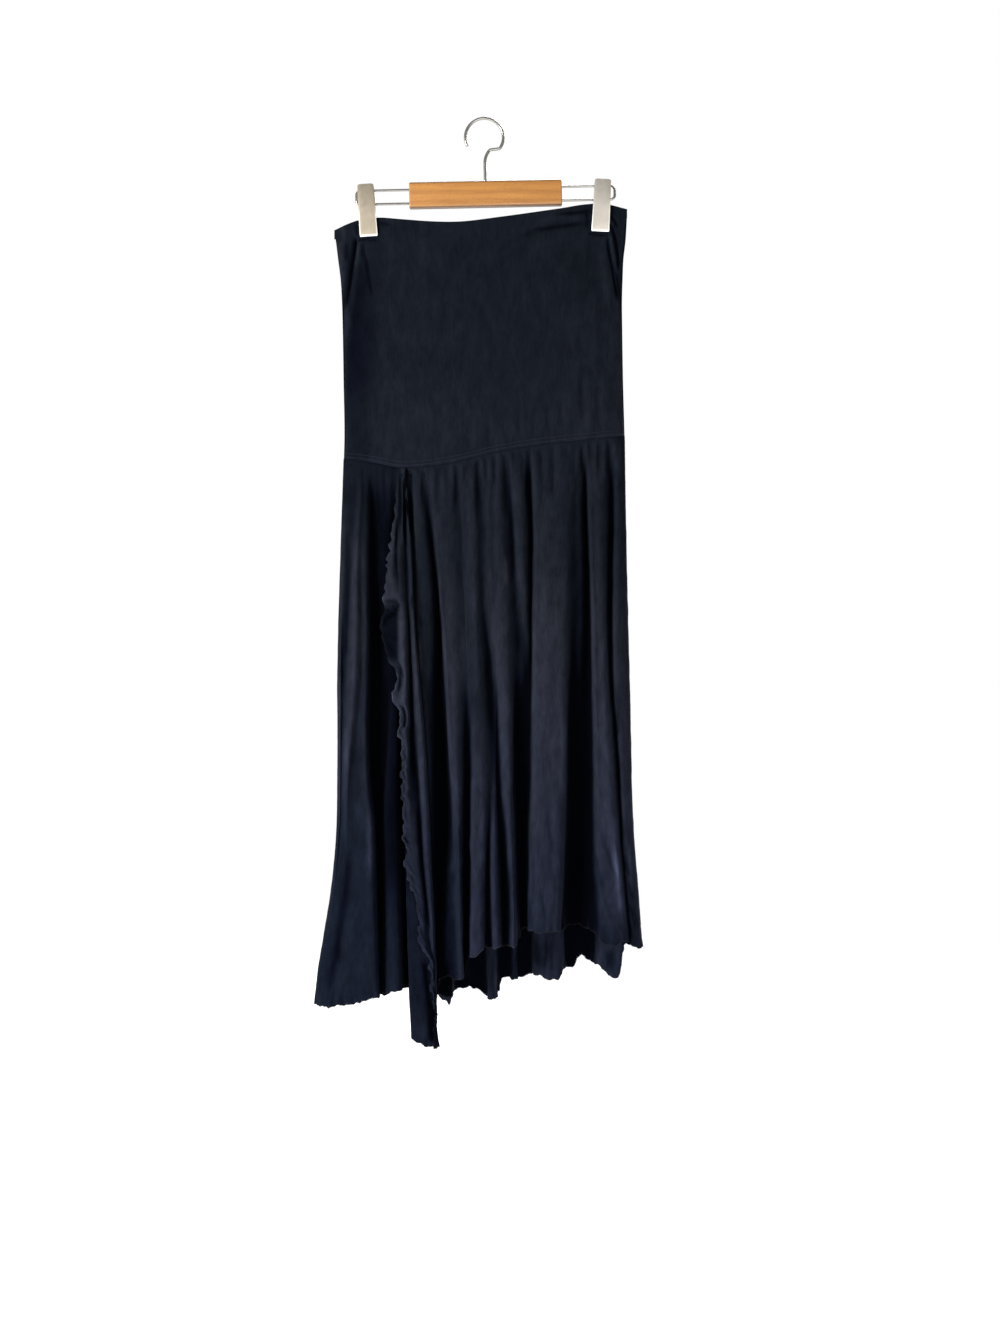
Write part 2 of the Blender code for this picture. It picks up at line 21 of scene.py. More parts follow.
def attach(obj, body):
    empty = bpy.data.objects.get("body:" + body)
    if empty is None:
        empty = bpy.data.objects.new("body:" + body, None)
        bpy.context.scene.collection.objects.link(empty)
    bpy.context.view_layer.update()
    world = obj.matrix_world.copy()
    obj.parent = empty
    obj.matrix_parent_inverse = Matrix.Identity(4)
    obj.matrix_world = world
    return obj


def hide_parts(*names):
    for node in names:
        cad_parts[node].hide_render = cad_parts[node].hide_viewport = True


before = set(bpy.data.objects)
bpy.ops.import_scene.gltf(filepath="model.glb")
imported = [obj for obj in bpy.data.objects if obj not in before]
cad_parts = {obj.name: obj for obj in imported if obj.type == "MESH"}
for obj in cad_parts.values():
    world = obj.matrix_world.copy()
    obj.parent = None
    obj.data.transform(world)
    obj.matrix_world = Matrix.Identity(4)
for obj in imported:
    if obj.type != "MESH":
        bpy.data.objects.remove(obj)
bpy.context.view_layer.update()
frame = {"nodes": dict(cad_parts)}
LOG = logging.getLogger("wrap_skirt")
MM = 0.001
BODY = "root"
END_SHARE = 0.72    # a wire's end is this share of its radius, which rounds its edge
WAVE_TURN = 2 * math.pi / 20    # a wave texture's scale for one band in each metre
Material = bpy.types.Material
Tree = bpy.types.NodeTree
Socket = bpy.types.NodeSocket
Piece = bpy.types.Object
Mesh = bmesh.types.BMesh
Array = np.ndarray
Row = tuple[float, ...]
Triple = tuple[float, float, float]


class Side(Enum):
    """Which way a cloth panel faces."""

    FRONT = -1
    BACK = 1


class Slot(Enum):
    """Three material slot names."""

    JERSEY = "navy_jersey"
    BEECH = "varnished_beech"
    CHROME = "bright_chrome"


# ---------------- node and colour helpers
def linear(code: str, alpha: float = 1.0) -> tuple[float, float, float, float]:
    """Turns an sRGB colour of six hex digits to linear RGBA."""
    digits = code.lstrip("#")
    channels = [int(digits[i : i + 2], 16) / 255 for i in (0, 2, 4)]
    turned = [c / 12.92 if c <= 0.04045 else ((c + 0.055) / 1.055) ** 2.4 for c in channels]
    return (*turned, alpha)


def shaded(colour: tuple, share: float) -> tuple[float, float, float, float]:
    """A linear colour at a share of its strength."""
    return (*(share * c for c in colour[:3]), 1.0)


def add_node(tree: Tree, kind: str, settings: dict | None = None,
             links: dict | None = None) -> bpy.types.Node:
    """Adds a node with its settings and links.

    Args:
        tree: the node tree.
        kind: the node's type name.
        settings: property names to values.
        links: input names or numbers to a value or to another node's output.

    Returns:
        The new node.
    """
    node = tree.nodes.new(kind)
    for name, value in (settings or {}).items():
        setattr(node, name, value)
    for name, value in (links or {}).items():
        if isinstance(value, Socket):
            tree.links.new(value, node.inputs[name])
        else:
            node.inputs[name].default_value = value
    return node


def new_material(name: str) -> tuple[Material, Tree, bpy.types.Node]:
    """Makes an empty material: returns it, its node tree and its Principled shader."""
    material = bpy.data.materials.new(name)
    material.use_nodes = True
    tree = material.node_tree
    return material, tree, tree.nodes["Principled BSDF"]


def set_inputs(shader: bpy.types.Node, **values: float | tuple | Socket) -> None:
    """Sets or links a shader's inputs; an underscore in a name stands for a space."""
    for name, value in values.items():
        socket = shader.inputs[name.replace("_", " ")]
        if isinstance(value, Socket):
            shader.id_data.links.new(value, socket)
        else:
            socket.default_value = value


def ramp(tree: Tree, factor: Socket, *stops: tuple[float, tuple]) -> Socket:
    """Colours a factor by two stops, each a place and a linear colour."""
    node = add_node(tree, "ShaderNodeValToRGB", None, {"Fac": factor})
    for element, (place, colour) in zip(node.color_ramp.elements, stops):
        element.position = place
        element.color = colour
    return node.outputs["Color"]


def mapped(tree: Tree, place: Socket, scale: tuple = (1, 1, 1), turn: tuple = (0, 0, 0)) -> Socket:
    """Turns coordinates by angles in radians and scales them."""
    links = {"Vector": place, "Rotation": turn, "Scale": scale}
    return add_node(tree, "ShaderNodeMapping", None, links).outputs["Vector"]


def noise(tree: Tree, place: Socket, scale: float, detail: float, roughness: float = 0.5,
          distortion: float = 0.0, dimensions: str = "3D") -> Socket:
    """A cloudy pattern, from 0 to 1."""
    links = {"Vector": place, "Scale": scale, "Detail": detail, "Roughness": roughness,
             "Distortion": distortion}
    return add_node(tree, "ShaderNodeTexNoise", {"noise_dimensions": dimensions}, links).outputs[0]


def wave(tree: Tree, place: Socket, axis: str, scale: float, more: dict | None = None) -> Socket:
    """Even bands across an axis, from 0 to 1."""
    settings = {"wave_type": "BANDS", "bands_direction": axis}
    links = {"Vector": place, "Scale": scale, **(more or {})}
    return add_node(tree, "ShaderNodeTexWave", settings, links).outputs["Fac"]


def weighed(tree: Tree, value: Socket, share: float, rest: Socket) -> Socket:
    """A share of a value, added to the rest."""
    links = {0: value, 1: share, 2: rest}
    return add_node(tree, "ShaderNodeMath", {"operation": "MULTIPLY_ADD"}, links).outputs[0]


def ranged(tree: Tree, value: Socket, start: float, stop: float, low: float | Socket = 0.0,
           high: float = 1.0, smooth: bool = False) -> Socket:
    """Takes a value's range from start to stop over to low to high."""
    links = {"Value": value, "From Min": start, "From Max": stop, "To Min": low, "To Max": high}
    settings = {"interpolation_type": "SMOOTHSTEP" if smooth else "LINEAR"}
    return add_node(tree, "ShaderNodeMapRange", settings, links).outputs["Result"]


def dimmed(tree: Tree, colour: Socket, share: Socket) -> Socket:
    """A colour times a number."""
    links = {0: colour, "Scale": share}
    return add_node(tree, "ShaderNodeVectorMath", {"operation": "SCALE"}, links).outputs[0]


def mixed(tree: Tree, factor: Socket, colour: Socket, other: tuple, how: str = "MIX") -> Socket:
    """Mixes a second colour into the first by a factor."""
    links = {"Factor": factor, 6: colour, 7: other if len(other) == 4 else (*other, 1.0)}
    settings = {"data_type": "RGBA", "blend_type": how}
    return add_node(tree, "ShaderNodeMix", settings, links).outputs[2]


def bumped(tree: Tree, height: Socket, strength: float, distance_mm: float) -> Socket:
    """A normal with a pattern's relief."""
    links = {"Height": height, "Strength": strength, "Distance": distance_mm * MM}
    return add_node(tree, "ShaderNodeBump", None, links).outputs["Normal"]


def object_place(tree: Tree) -> Socket:
    """Object coordinates."""
    return add_node(tree, "ShaderNodeTexCoord").outputs["Object"]


def painted_light_of(tree: Tree) -> Socket:
    """The vertices' painted share of light."""
    settings = {"attribute_type": "GEOMETRY", "attribute_name": "pale_tone_and_painted_light"}
    return add_node(tree, "ShaderNodeAttribute", settings).outputs["Fac"]


def height_of(tree: Tree, place: Socket) -> Socket:
    """The upward coordinate of a place."""
    return add_node(tree, "ShaderNodeSeparateXYZ", None, {"Vector": place}).outputs["Z"]


# ---------------- finishes
@dataclass(frozen=True)
class JerseyKnit:
    """Single jersey in viscose and elastane, dyed deep navy: soft, matt, faintly heathered.

    The knit's wales run down each piece. Its colour is scaled by the painted shade and light
    stored on each vertex: lit crests are made a little paler and greyer (`greying`), folds in
    painted shade bluer (`folded`), and the colour is bluer towards the bottom (`lower`). The
    yarn's fuzz gives a weak sheen at a slant.
    """

    name: str = "dyed_viscose_jersey"
    deep: str = "#10141B"
    pale_tone_and_painted_light: str = "#191E26"
    greying: Triple = (1.2, 1.0, 0.96)
    folded: Triple = (1.0, 0.94, 1.36)
    lower: Triple = (0.92, 0.97, 1.2)
    sheen_tint: str = "#8B97B8"
    wale_mm: float = 1.1
    course_mm: float = 0.9
    slub_mm: float = 2.6

    def material(self) -> Material:
        """Builds the knit on the piece's own UV map, which is in metres."""
        material, tree, shader = new_material(self.name)
        uv = add_node(tree, "ShaderNodeUVMap", {"uv_map": "cut"}).outputs["UV"]
        wales = wave(tree, uv, "X", WAVE_TURN / (self.wale_mm * MM),
                     {"Distortion": 0.6, "Detail": 1.0, "Detail Scale": 2.0})
        courses = wave(tree, uv, "Y", WAVE_TURN / (self.course_mm * MM), {"Distortion": 0.4})
        slubs = mapped(tree, uv, (1 / (self.slub_mm * MM), 1 / (self.slub_mm * 5 * MM), 1))
        slub = noise(tree, slubs, 1.0, 3.0, 0.6, dimensions="2D")
        patches = noise(tree, mapped(tree, uv, (1.5, 0.55, 1)), 55.0, 5.0, 0.66, dimensions="2D")
        colour = ramp(tree, weighed(tree, slub, 0.55, patches),
                      (0.5, linear(self.deep)), (1.0, linear(self.pale_tone_and_painted_light)))
        # Painted shade and light: the knit's colour is scaled by each vertex's stored share of light, then
        # tinted greyer where lit, bluer where shaded and bluer towards the bottom.
        pale_tone_and_painted_light = painted_light_of(tree)
        colour = dimmed(tree, colour, pale_tone_and_painted_light)
        height = height_of(tree, object_place(tree))
        for value, start, stop, tint in (
            (pale_tone_and_painted_light, 0.55, 1.0, self.greying), (pale_tone_and_painted_light, 0.4, 0.12, self.folded),
            (height, -0.62, -0.92, self.lower),
        ):
            colour = mixed(tree, ranged(tree, value, start, stop), colour, tint, "MULTIPLY")
        relief = weighed(tree, slub, 1.6, weighed(tree, wales, 0.6, courses))
        tint = linear(self.sheen_tint)
        set_inputs(shader, Base_Color=colour, Normal=bumped(tree, relief, 0.35, 0.25),
                   Roughness=0.88, Specular_IOR_Level=0.04, Specular_Tint=tint,
                   Sheen_Weight=0.02, Sheen_Roughness=0.45, Sheen_Tint=tint)
        return material


@dataclass(frozen=True)
class SewingThread:
    """Spun polyester thread, dyed to match: a shade lighter than the jersey, nearly matt."""

    name: str = "navy_sewing_thread"
    colour: str = "#20242F"
    ply_mm: float = 0.5

    def material(self) -> Material:
        """Builds the thread with its ply as a fine slanted relief."""
        material, tree, shader = new_material(self.name)
        slanted = mapped(tree, object_place(tree), turn=(0, 0.7, 0.7))
        ply = wave(tree, slanted, "X", WAVE_TURN / (self.ply_mm * MM))
        base = linear(self.colour)
        tone = ramp(tree, ply, (0.0, shaded(base, 0.75)), (1.0, base))
        # Painted shade: the thread's colour is scaled by the cloth's painted light where it lies.
        set_inputs(shader, Base_Color=dimmed(tree, tone, painted_light_of(tree)),
                   Normal=bumped(tree, ply, 0.3, 0.1), Roughness=0.75, Specular_IOR_Level=0.08)
        return material


@dataclass(frozen=True)
class VarnishedBeech:
    """Steamed beech, sanded and varnished: honey brown, short dark flecks, a satin coat.

    The rounded lower and upper edges are darkened in the colour as painted shade. Each
    of `edges` gives where the dark ends, how far it fades and how dark it is.
    """

    name: str = "varnished_beech"
    pale: str = "#A26E2C"
    dark: str = "#8A581E"
    fleck: str = "#6B3F12"
    grain_mm: float = 2.2
    lean: float = 1.2
    edges: tuple[Triple, ...] = ((-104.6, 2.4, 0.3), (-74.6, -1.6, 0.55))

    def material(self) -> Material:
        """Builds the grain along X on Object coordinates."""
        material, tree, shader = new_material(self.name)
        place = object_place(tree)
        along = 1 / (self.grain_mm * MM)
        turn = (0, math.radians(-self.lean), 0)
        grain = noise(tree, mapped(tree, place, (along / 26, along, along), turn), 1.0, 6.0,
                      0.62, 0.5)
        bands = wave(tree, mapped(tree, place, (4, 60, 90), turn), "Z", 0.28,
                     {"Distortion": 5.0, "Detail": 3.0, "Detail Scale": 0.8})
        tone = ramp(tree, weighed(tree, bands, 0.3, grain),
                    (0.42, linear(self.dark)), (0.92, linear(self.pale)))
        flecks = noise(tree, mapped(tree, place, (260, 1400, 1400)), 1.0, 1.0)
        spots = ramp(tree, flecks, (0.6, (0, 0, 0, 1)), (0.72, (0.6, 0.6, 0.6, 1)))
        colour = mixed(tree, spots, tone, linear(self.fleck))
        level = height_of(tree, mapped(tree, place, turn=(0, math.radians(self.lean), 0)))
        # Painted shade along the bar's rounded lower and upper edges.
        for edge, run, dark in self.edges:
            clear = ranged(tree, level, edge * MM, (edge + run) * MM, dark, smooth=True)
            colour = dimmed(tree, colour, clear)
        set_inputs(shader, Base_Color=colour, Normal=bumped(tree, grain, 0.12, 0.2),
                   Roughness=0.5, Coat_Weight=0.6, Coat_Roughness=0.16)
        return material


@dataclass(frozen=True)
class ChromePlate:
    """Bright chrome on stamped steel or drawn wire, with a light haze from handling.

    `highlight_colour` is the colour of a painted highlight along the plates' lower and side edges.
    """

    name: str
    colour: str = "#A59985"
    highlight_colour: str = "#E9E6E0"
    roughness: float = 0.42
    haze: float = 0.06

    def material(self) -> Material:
        """Builds the plating; the haze varies its roughness in soft patches."""
        material, tree, shader = new_material(self.name)
        cloud = noise(tree, object_place(tree), 130.0, 5.0, 0.7)
        bright = linear(self.colour)
        tone = ramp(tree, cloud, (0.35, shaded(bright, 0.93)), (0.65, bright))
        gloss = ranged(tree, cloud, 0.35, 0.7, self.roughness, self.roughness + self.haze)
        # The painted edge highlight is mixed in by each vertex's stored painted light.
        set_inputs(shader, Base_Color=mixed(tree, painted_light_of(tree), tone, linear(self.highlight_colour)),
                   Roughness=gloss, Normal=bumped(tree, cloud, 0.02, 0.1), Metallic=1.0)
        return material


@dataclass(frozen=True)
class StudioPaper:
    """Seamless white background paper, matt, lit through from behind as on a light table."""

    name: str = "white_background_paper"
    colour: str = "#FFFFFF"
    glow: float = 0.9

    def material(self) -> Material:
        """Builds the paper with a barely visible pulp."""
        material, tree, shader = new_material(self.name)
        pulp = noise(tree, object_place(tree), 300.0, 3.0)
        white = linear(self.colour)
        set_inputs(shader, Base_Color=white, Roughness=0.9, Emission_Color=white,
                   Emission_Strength=self.glow, Normal=bumped(tree, pulp, 0.04, 0.2))
        return material


# ---------------- curves through tables
def through(at: Array, places: tuple, values: tuple) -> Array:
    """A smooth curve through a table's values, straight beyond its ends.

    Args:
        at: where to read the curve.
        places: the table's places, rising or falling.
        values: its values.

    Returns:
        The curve's values, shaped as `at`.
    """
    at, places, values = (np.asarray(table, float) for table in (at, places, values))
    if places[0] > places[-1]:
        places, values = places[::-1], values[::-1]
    slopes = np.gradient(values, places)
    k = np.clip(np.searchsorted(places, at) - 1, 0, len(places) - 2)
    span = places[k + 1] - places[k]
    t = np.clip((at - places[k]) / span, 0, 1)
    inside = (
        values[k] * (1 + 2 * t) * (1 - t) ** 2
        + values[k + 1] * t**2 * (3 - 2 * t)
        + span * (slopes[k] * t * (1 - t) ** 2 - slopes[k + 1] * t**2 * (1 - t))
    )
    below = np.minimum(at - places[0], 0) * slopes[0]
    return inside + below + np.maximum(at - places[-1], 0) * slopes[-1]


def ease(at: Array, start: float, stop: float) -> Array:
    """Rises smoothly from 0 at `start` to 1 at `stop`."""
    t = np.clip((np.asarray(at, float) - start) / (stop - start), 0, 1)
    return t * t * (3 - 2 * t)


def band(at: Array, start: float, full: float, fading: float, gone: float) -> Array:
    """Rises smoothly from 0 at `start` to 1 at `full`, and falls to 0 from `fading` to `gone`."""
    return ease(at, start, full) * (1 - ease(at, fading, gone))


def bell(at: Array, middle: float, width: float) -> Array:
    """1 at the middle, falling away smoothly on both sides."""
    return np.exp(-(((at - middle) / width) ** 2))


def spline_weights(count: int, t: Array, crispness: float) -> Array:
    """Weights that turn `count` control points into points of a smooth curve.

    Args:
        count: how many control points there are.
        t: places along the curve, from 0 to count - 1.
        crispness: 0 rounds the curve off, 1 takes it through its points.

    Returns:
        One row of weights for each place.
    """
    weights = np.zeros((len(t), count + 2))
    k = np.minimum(t.astype(int), count - 2)
    f = t - k
    rounded = np.stack([
        (1 - f) ** 3, 3 * f**3 - 6 * f**2 + 4, -3 * f**3 + 3 * f**2 + 3 * f + 1, f**3,
    ], 1) / 6
    exact = np.stack([
        -f + 2 * f**2 - f**3, 2 - 5 * f**2 + 3 * f**3, f + 4 * f**2 - 3 * f**3, f**3 - f**2,
    ], 1) / 2
    blend = rounded + crispness * (exact - rounded)
    for i in range(4):
        weights[np.arange(len(t)), k + i] += blend[:, i]
    inner = weights[:, 1:-1].copy()
    for outer, first, second in ((0, 0, 1), (-1, -1, -2)):
        inner[:, first] += 2 * weights[:, outer]
        inner[:, second] -= weights[:, outer]
    return inner


# ---------------- the skirt's outline
@dataclass(frozen=True)
class Ring:
    """The skirt at a height: its sides, how wide each lies flat, and how far it stands out."""

    z: float
    left: float
    right: float
    flat_left: float
    flat_right: float
    front: float
    back: float


@dataclass(frozen=True)
class Outline:
    """The hollow form that every panel follows."""

    rings: tuple[Ring, ...] = (
        Ring(-100, -181.5, 172, 31, 20, 4, 4),
        Ring(-127, -180.5, 171, 30, 20, 5, 5),
        Ring(-144, -178, 170, 24, 16, 6.5, 6),
        Ring(-168, -175, 167.3, 16, 12, 9, 8),
        Ring(-192, -172, 166.3, 9, 7, 12, 11),
        Ring(-216, -170.5, 165.6, 4, 3, 14, 13),
        Ring(-252, -169.5, 165.9, 0, 0, 17, 16),
        Ring(-312, -168.5, 166.8, 0, 0, 20, 19),
        Ring(-384, -167.5, 168.7, 0, 0, 23, 22),
        Ring(-432, -169, 169.3, 0, 0, 26, 25),
        Ring(-564, -173.5, 171.8, 0, 0, 31, 30),
        Ring(-696, -176, 175.2, 0, 0, 37, 35),
        Ring(-840, -176, 178.6, 0, 0, 43, 41),
        Ring(-888, -178, 181.6, 0, 0, 44, 42),
        Ring(-936, -185, 186, 0, 0, 45, 44),
        Ring(-984, -193, 188.5, 0, 0, 46, 45),
        Ring(-1032, -200.5, 190, 0, 0, 46, 45),
        Ring(-1068, -202, 191, 0, 0, 46, 45),
    )
    waist_x: Row = (-181, -162, -152, -128, -100, -64, -34, 20, 56, 92, 122, 140, 172)
    waist_z: Row = (
        -134, -125.5, -122, -118.5, -120.5, -123.5, -124, -118, -113, -107.5, -102.5, -101.5,
        -108.5)
    seam_x: Row = (-166, -130, -100, -78, -40, 12, 64, 116, 169)
    seam_z: Row = (-408, -413.5, -419.5, -419, -414, -401.5, -392.5, -386.5, -380)
    power: float = 3.0
    side_gap: float = 0.02
    layer: float = 1.15

    def column(self, name: str, z: Array) -> Array:
        """One of the rings' sizes at the heights z."""
        values = tuple(getattr(ring, name) for ring in self.rings)
        return through(z, tuple(ring.z for ring in self.rings), values)

    def waist(self, x: Array) -> Array:
        """The height of the waist's edge at x."""
        return through(x, self.waist_x, self.waist_z)

    def seam(self, x: Array) -> Array:
        """The height of the yoke's lower seam at x."""
        return through(x, self.seam_x, self.seam_z)

    def depth(self, x: Array, z: Array, side: Side) -> Array:
        """How far the form's front or back stands from the mid-plane at x and height z."""
        full = self.column("front" if side is Side.FRONT else "back", z)
        flat_left = np.maximum(self.column("flat_left", z), 0)
        flat_right = np.maximum(self.column("flat_right", z), 0)
        low = self.column("left", z) + flat_left
        high = self.column("right", z) - flat_right
        along = np.clip((2 * x - low - high) / (high - low), -1, 1)
        flat = np.minimum((flat_left + flat_right) / 8, 1)
        least = self.side_gap + (self.layer - self.side_gap) * flat
        rounded = (1 - np.abs(along) ** self.power) ** (1 / self.power)
        return least + (full - least) * rounded


# ---------------- folds, gathers, creases
@dataclass(frozen=True)
class Line:
    """A line down a panel: x and how far it stands back at each height, and its hem."""

    x: Row
    back: Row
    hem: float | None = None

    def lines(self) -> list["Line"]:
        """The line as it is."""
        return [self]


@dataclass(frozen=True)
class Valley:
    """A trough between two folds: its two shoulders and its depth at each height.

    `lean` is -1 when the floor lies against the left shoulder and 1 against the right one;
    that wall is then the steep one. `floor` is the floor's share of the width.
    """

    left: Row
    right: Row
    depth: Row
    lean: float = 0.0
    floor: float = 0.34

    def lines(self) -> list[Line]:
        """The shoulders and the floor's two edges, from left to right."""
        left, right, depth = (np.array(v, float) for v in (self.left, self.right, self.depth))
        width = right - left
        spare = (1 - self.floor) / 2
        start = left + width * spare * (1 + 0.86 * self.lean)
        stop = right - width * spare * (1 - 0.86 * self.lean)
        shoulder = depth * 0.04
        return [
            Line(tuple(x), tuple(back))
            for x, back in ((left, shoulder), (start, depth), (stop, depth), (right, shoulder))
        ]


@dataclass(frozen=True)
class FoldRun:
    """Neighbouring folds whose tables share one set of heights."""

    heights: Row
    folds: tuple[Line | Valley, ...]


def fold_run(heights: Row, *folds: tuple | Valley) -> FoldRun:
    """A run of folds from left to right.

    A bare row is a line: its x at each height; how far it stands back, once if it is the
    same all along; and its hem, where it has its own.
    """
    made = []
    for fold in folds:
        if isinstance(fold, tuple):
            x, back, *hem = fold
            fold = Line(x, back if isinstance(back, tuple) else (back,) * len(x), *hem)
        made.append(fold)
    return FoldRun(heights, tuple(made))


@dataclass(frozen=True)
class Gather:
    """A short trough that the gathering thread draws into the seam."""

    x: float
    length: float
    depth: float
    width: float = 3.4


def gather_rows(*rows: tuple) -> tuple[Gather, ...]:
    """Gathers from rows of x, a length, a depth and, where it isn't 3.4, a width."""
    return tuple(Gather(*row) for row in rows)


@dataclass(frozen=True)
class Crease:
    """A soft ridge (height > 0) or trough (height < 0); its path runs x, z, x, z, ..."""

    path: Row
    height: float
    width: float
    fade: float = 0.3

    def lift(self, x: Array, z: Array) -> Array:
        """How far the crease moves the cloth out at places across and heights."""
        points = np.array(self.path, float).reshape(-1, 2)
        steps = points[1:] - points[:-1]
        lengths = np.hypot(steps[:, 0], steps[:, 1])
        starts = np.concatenate([[0], np.cumsum(lengths)[:-1]])
        nearest = np.full(x.shape, np.inf)
        along = np.zeros(x.shape)
        for point, step, length, start in zip(points, steps, lengths, starts):
            t = ((x - point[0]) * step[0] + (z - point[1]) * step[1]) / length**2
            t = np.clip(t, 0, 1)
            away = np.hypot(x - point[0] - t * step[0], z - point[1] - t * step[1])
            closer = away < nearest
            nearest = np.where(closer, away, nearest)
            along = np.where(closer, start + t * length, along)
        share = along / lengths.sum()
        taper = ease(share, 0, self.fade) * ease(1 - share, 0, self.fade)
        return self.height * bell(nearest, 0, self.width) * taper


def crease_lines(*rows: tuple) -> tuple[Crease, ...]:
    """Creases from rows of a path, a height, a width and, where it isn't 0.3, a fade."""
    return tuple(Crease(*row) for row in rows)


def lettuce(distance: Array, run: Array, reach: float, seed: int) -> Array:
    """The ripple of a stretched, overlocked hem, about -1 to 1 at the edge.

    Args:
        distance: how far each point is from the edge.
        run: how far along the edge it is.
        reach: how far in the ripple goes.
        seed: sets the ripple's phases.

    Returns:
        The ripple at each point, fading inwards.
    """
    draw = np.random.default_rng(seed)
    total = np.zeros(distance.shape)
    for length, share in ((31.0, 0.45), (19.0, 0.6), (12.5, 0.6), (8.0, 0.4)):
        bend = draw.uniform(0.1, 0.35)
        phase, sway = draw.uniform(0, 2 * math.pi, 2)
        turn = 2 * math.pi * run / length
        total += share * np.sin(turn + phase + bend * 6 * np.sin(turn * 0.21 + sway))
    return total / 1.4 * np.exp(-((distance / reach) ** 1.4))


def blurred(values: Array, reach: int) -> Array:
    """Averages each row over a bell-shaped window that spans about twice `reach` columns."""
    spots = np.arange(-2 * reach, 2 * reach + 1)
    window = bell(spots, 0, reach)
    window /= window.sum()
    padded = np.pad(values, ((0, 0), (2 * reach, 2 * reach)), mode="edge")
    return np.stack([np.convolve(row, window, "valid") for row in padded])


def wander(u: Array, v: Array, scale_u: float, scale_v: float, seed: int) -> Array:
    """A slow, smooth unevenness of places u and v, with a spread of about 1.

    Args:
        u: places across.
        v: places down.
        scale_u: the longest wave across.
        scale_v: the longest wave down.
        seed: sets the waves.

    Returns:
        The unevenness, shaped as u.
    """
    draw = np.random.default_rng(seed)
    total = np.zeros(u.shape)
    for octave in range(7):
        shrink = 0.78**octave
        phase = draw.uniform(0, 2 * math.pi, 2)
        tilt = draw.uniform(-0.35, 0.35)
        across = 2 * math.pi * (u / (scale_u * shrink) + tilt * v / scale_v)
        down = 2 * math.pi * v / (scale_v * shrink)
        total += shrink * np.sin(across + phase[0]) * np.cos(down + phase[1])
    return total / 2


# ---------------- cloth pieces
@dataclass
class Shell:
    """A cloth piece's sheet of points, rows from top to bottom, in millimetres.

    `pale_tone_and_painted_light` has a layer for each face: the share of light painted at each point.
    """

    points: Array
    pale_tone_and_painted_light: Array | None = None

    def normals(self) -> Array:
        """Unit normals of the sheet; rows run down and columns to the right."""
        down = np.gradient(self.points, axis=0)
        across = np.gradient(self.points, axis=1)
        normal = np.cross(down, across)
        return normal / np.maximum(np.linalg.norm(normal, axis=2, keepdims=True), 1e-9)

    def plan(self) -> tuple[Array, Array]:
        """Each point's place across and its height."""
        return self.points[:, :, 0], self.points[:, :, 2]

    def push(self, lift: Array, side: Side) -> None:
        """Moves each point out along its normal by its lift in millimetres."""
        outward = self.normals() * -side.value
        self.points = self.points + outward * lift[:, :, None]

    def trace(self, height: Callable[[Array], Array]) -> tuple[Array, Array]:
        """Follows a line at a height of x: its points and normals, one for each column."""
        gap = self.points[:, :, 2] - height(self.points[:, :, 0])
        row = np.argmax(gap < 0, axis=0)
        column = np.arange(gap.shape[1])
        above, below = gap[row - 1, column], gap[row, column]
        t = (above / (above - below))[:, None]
        normals = self.normals()
        mixed = normals[row - 1, column] * (1 - t) + normals[row, column] * t
        return self.points[row - 1, column] * (1 - t) + self.points[row, column] * t, mixed

    def summary(self) -> str:
        """The sheet's area and its mean width and length, for the log."""
        wide, long = self.run_across()[:, -1], self.run_down()[-1]
        return (
            f"{self.area():.4f} m2, {wide.min():.0f} to {wide.max():.0f} mm wide, "
            f"{long.min():.0f} to {long.max():.0f} mm long"
        )

    def run_across(self) -> Array:
        """Distance along each row from its first column."""
        steps = np.linalg.norm(np.diff(self.points, axis=1), axis=2)
        return np.concatenate([np.zeros((len(steps), 1)), np.cumsum(steps, 1)], 1)

    def run_down(self) -> Array:
        """Distance down each column from its first row."""
        steps = np.linalg.norm(np.diff(self.points, axis=0), axis=2)
        return np.concatenate([np.zeros((1, steps.shape[1])), np.cumsum(steps, 0)], 0)

    def area(self) -> float:
        """The sheet's area in square metres."""
        p = self.points * MM
        one = np.cross(p[1:, :-1] - p[:-1, :-1], p[:-1, 1:] - p[:-1, :-1])
        two = np.cross(p[1:, :-1] - p[1:, 1:], p[:-1, 1:] - p[1:, 1:])
        return float((np.linalg.norm(one, axis=2) + np.linalg.norm(two, axis=2)).sum() / 2)


def mesh_of_shell(name: str, shell: Shell, side: Side, thickness: float,
                  material: Material) -> Piece:
    """Makes a closed cloth piece about a sheet.

    Args:
        name: the piece's name.
        shell: the sheet, with its painted light.
        side: which way the cloth faces.
        thickness: of the wall, in metres.
        material: its finish.

    Returns:
        The piece, with its wall applied and a UV map "cut" in metres.
    """
    rows, columns = shell.points.shape[:2]
    index = np.arange(rows * columns).reshape(rows, columns)
    quads = np.stack([index[:-1, :-1], index[1:, :-1], index[1:, 1:], index[:-1, 1:]], 2)
    quads = quads.reshape(-1, 4)
    if side is Side.BACK:
        quads = quads[:, ::-1]
    data = bpy.data.meshes.new(name)
    data.from_pydata((shell.points * MM).reshape(-1, 3).tolist(), [], quads.tolist())
    across = np.broadcast_to(shell.run_across().mean(0), (rows, columns))
    down = shell.run_down()
    layout = np.stack([across, -down], 2).reshape(-1, 2) * MM
    layer = data.uv_layers.new(name="cut")
    loops = np.empty(len(data.loops), dtype=np.int32)
    data.loops.foreach_get("vertex_index", loops)
    layer.data.foreach_set("uv", layout[loops].ravel())
    data.shade_smooth()
    data.materials.append(material)
    sheet = linked(name, data)
    wall = sheet.modifiers.new("wall", "SOLIDIFY")
    wall.thickness = thickness
    wall.offset = 0
    wall.use_even_offset = False
    piece = made_plain(sheet)
    set_painted_light(piece, shell.pale_tone_and_painted_light)
    return piece


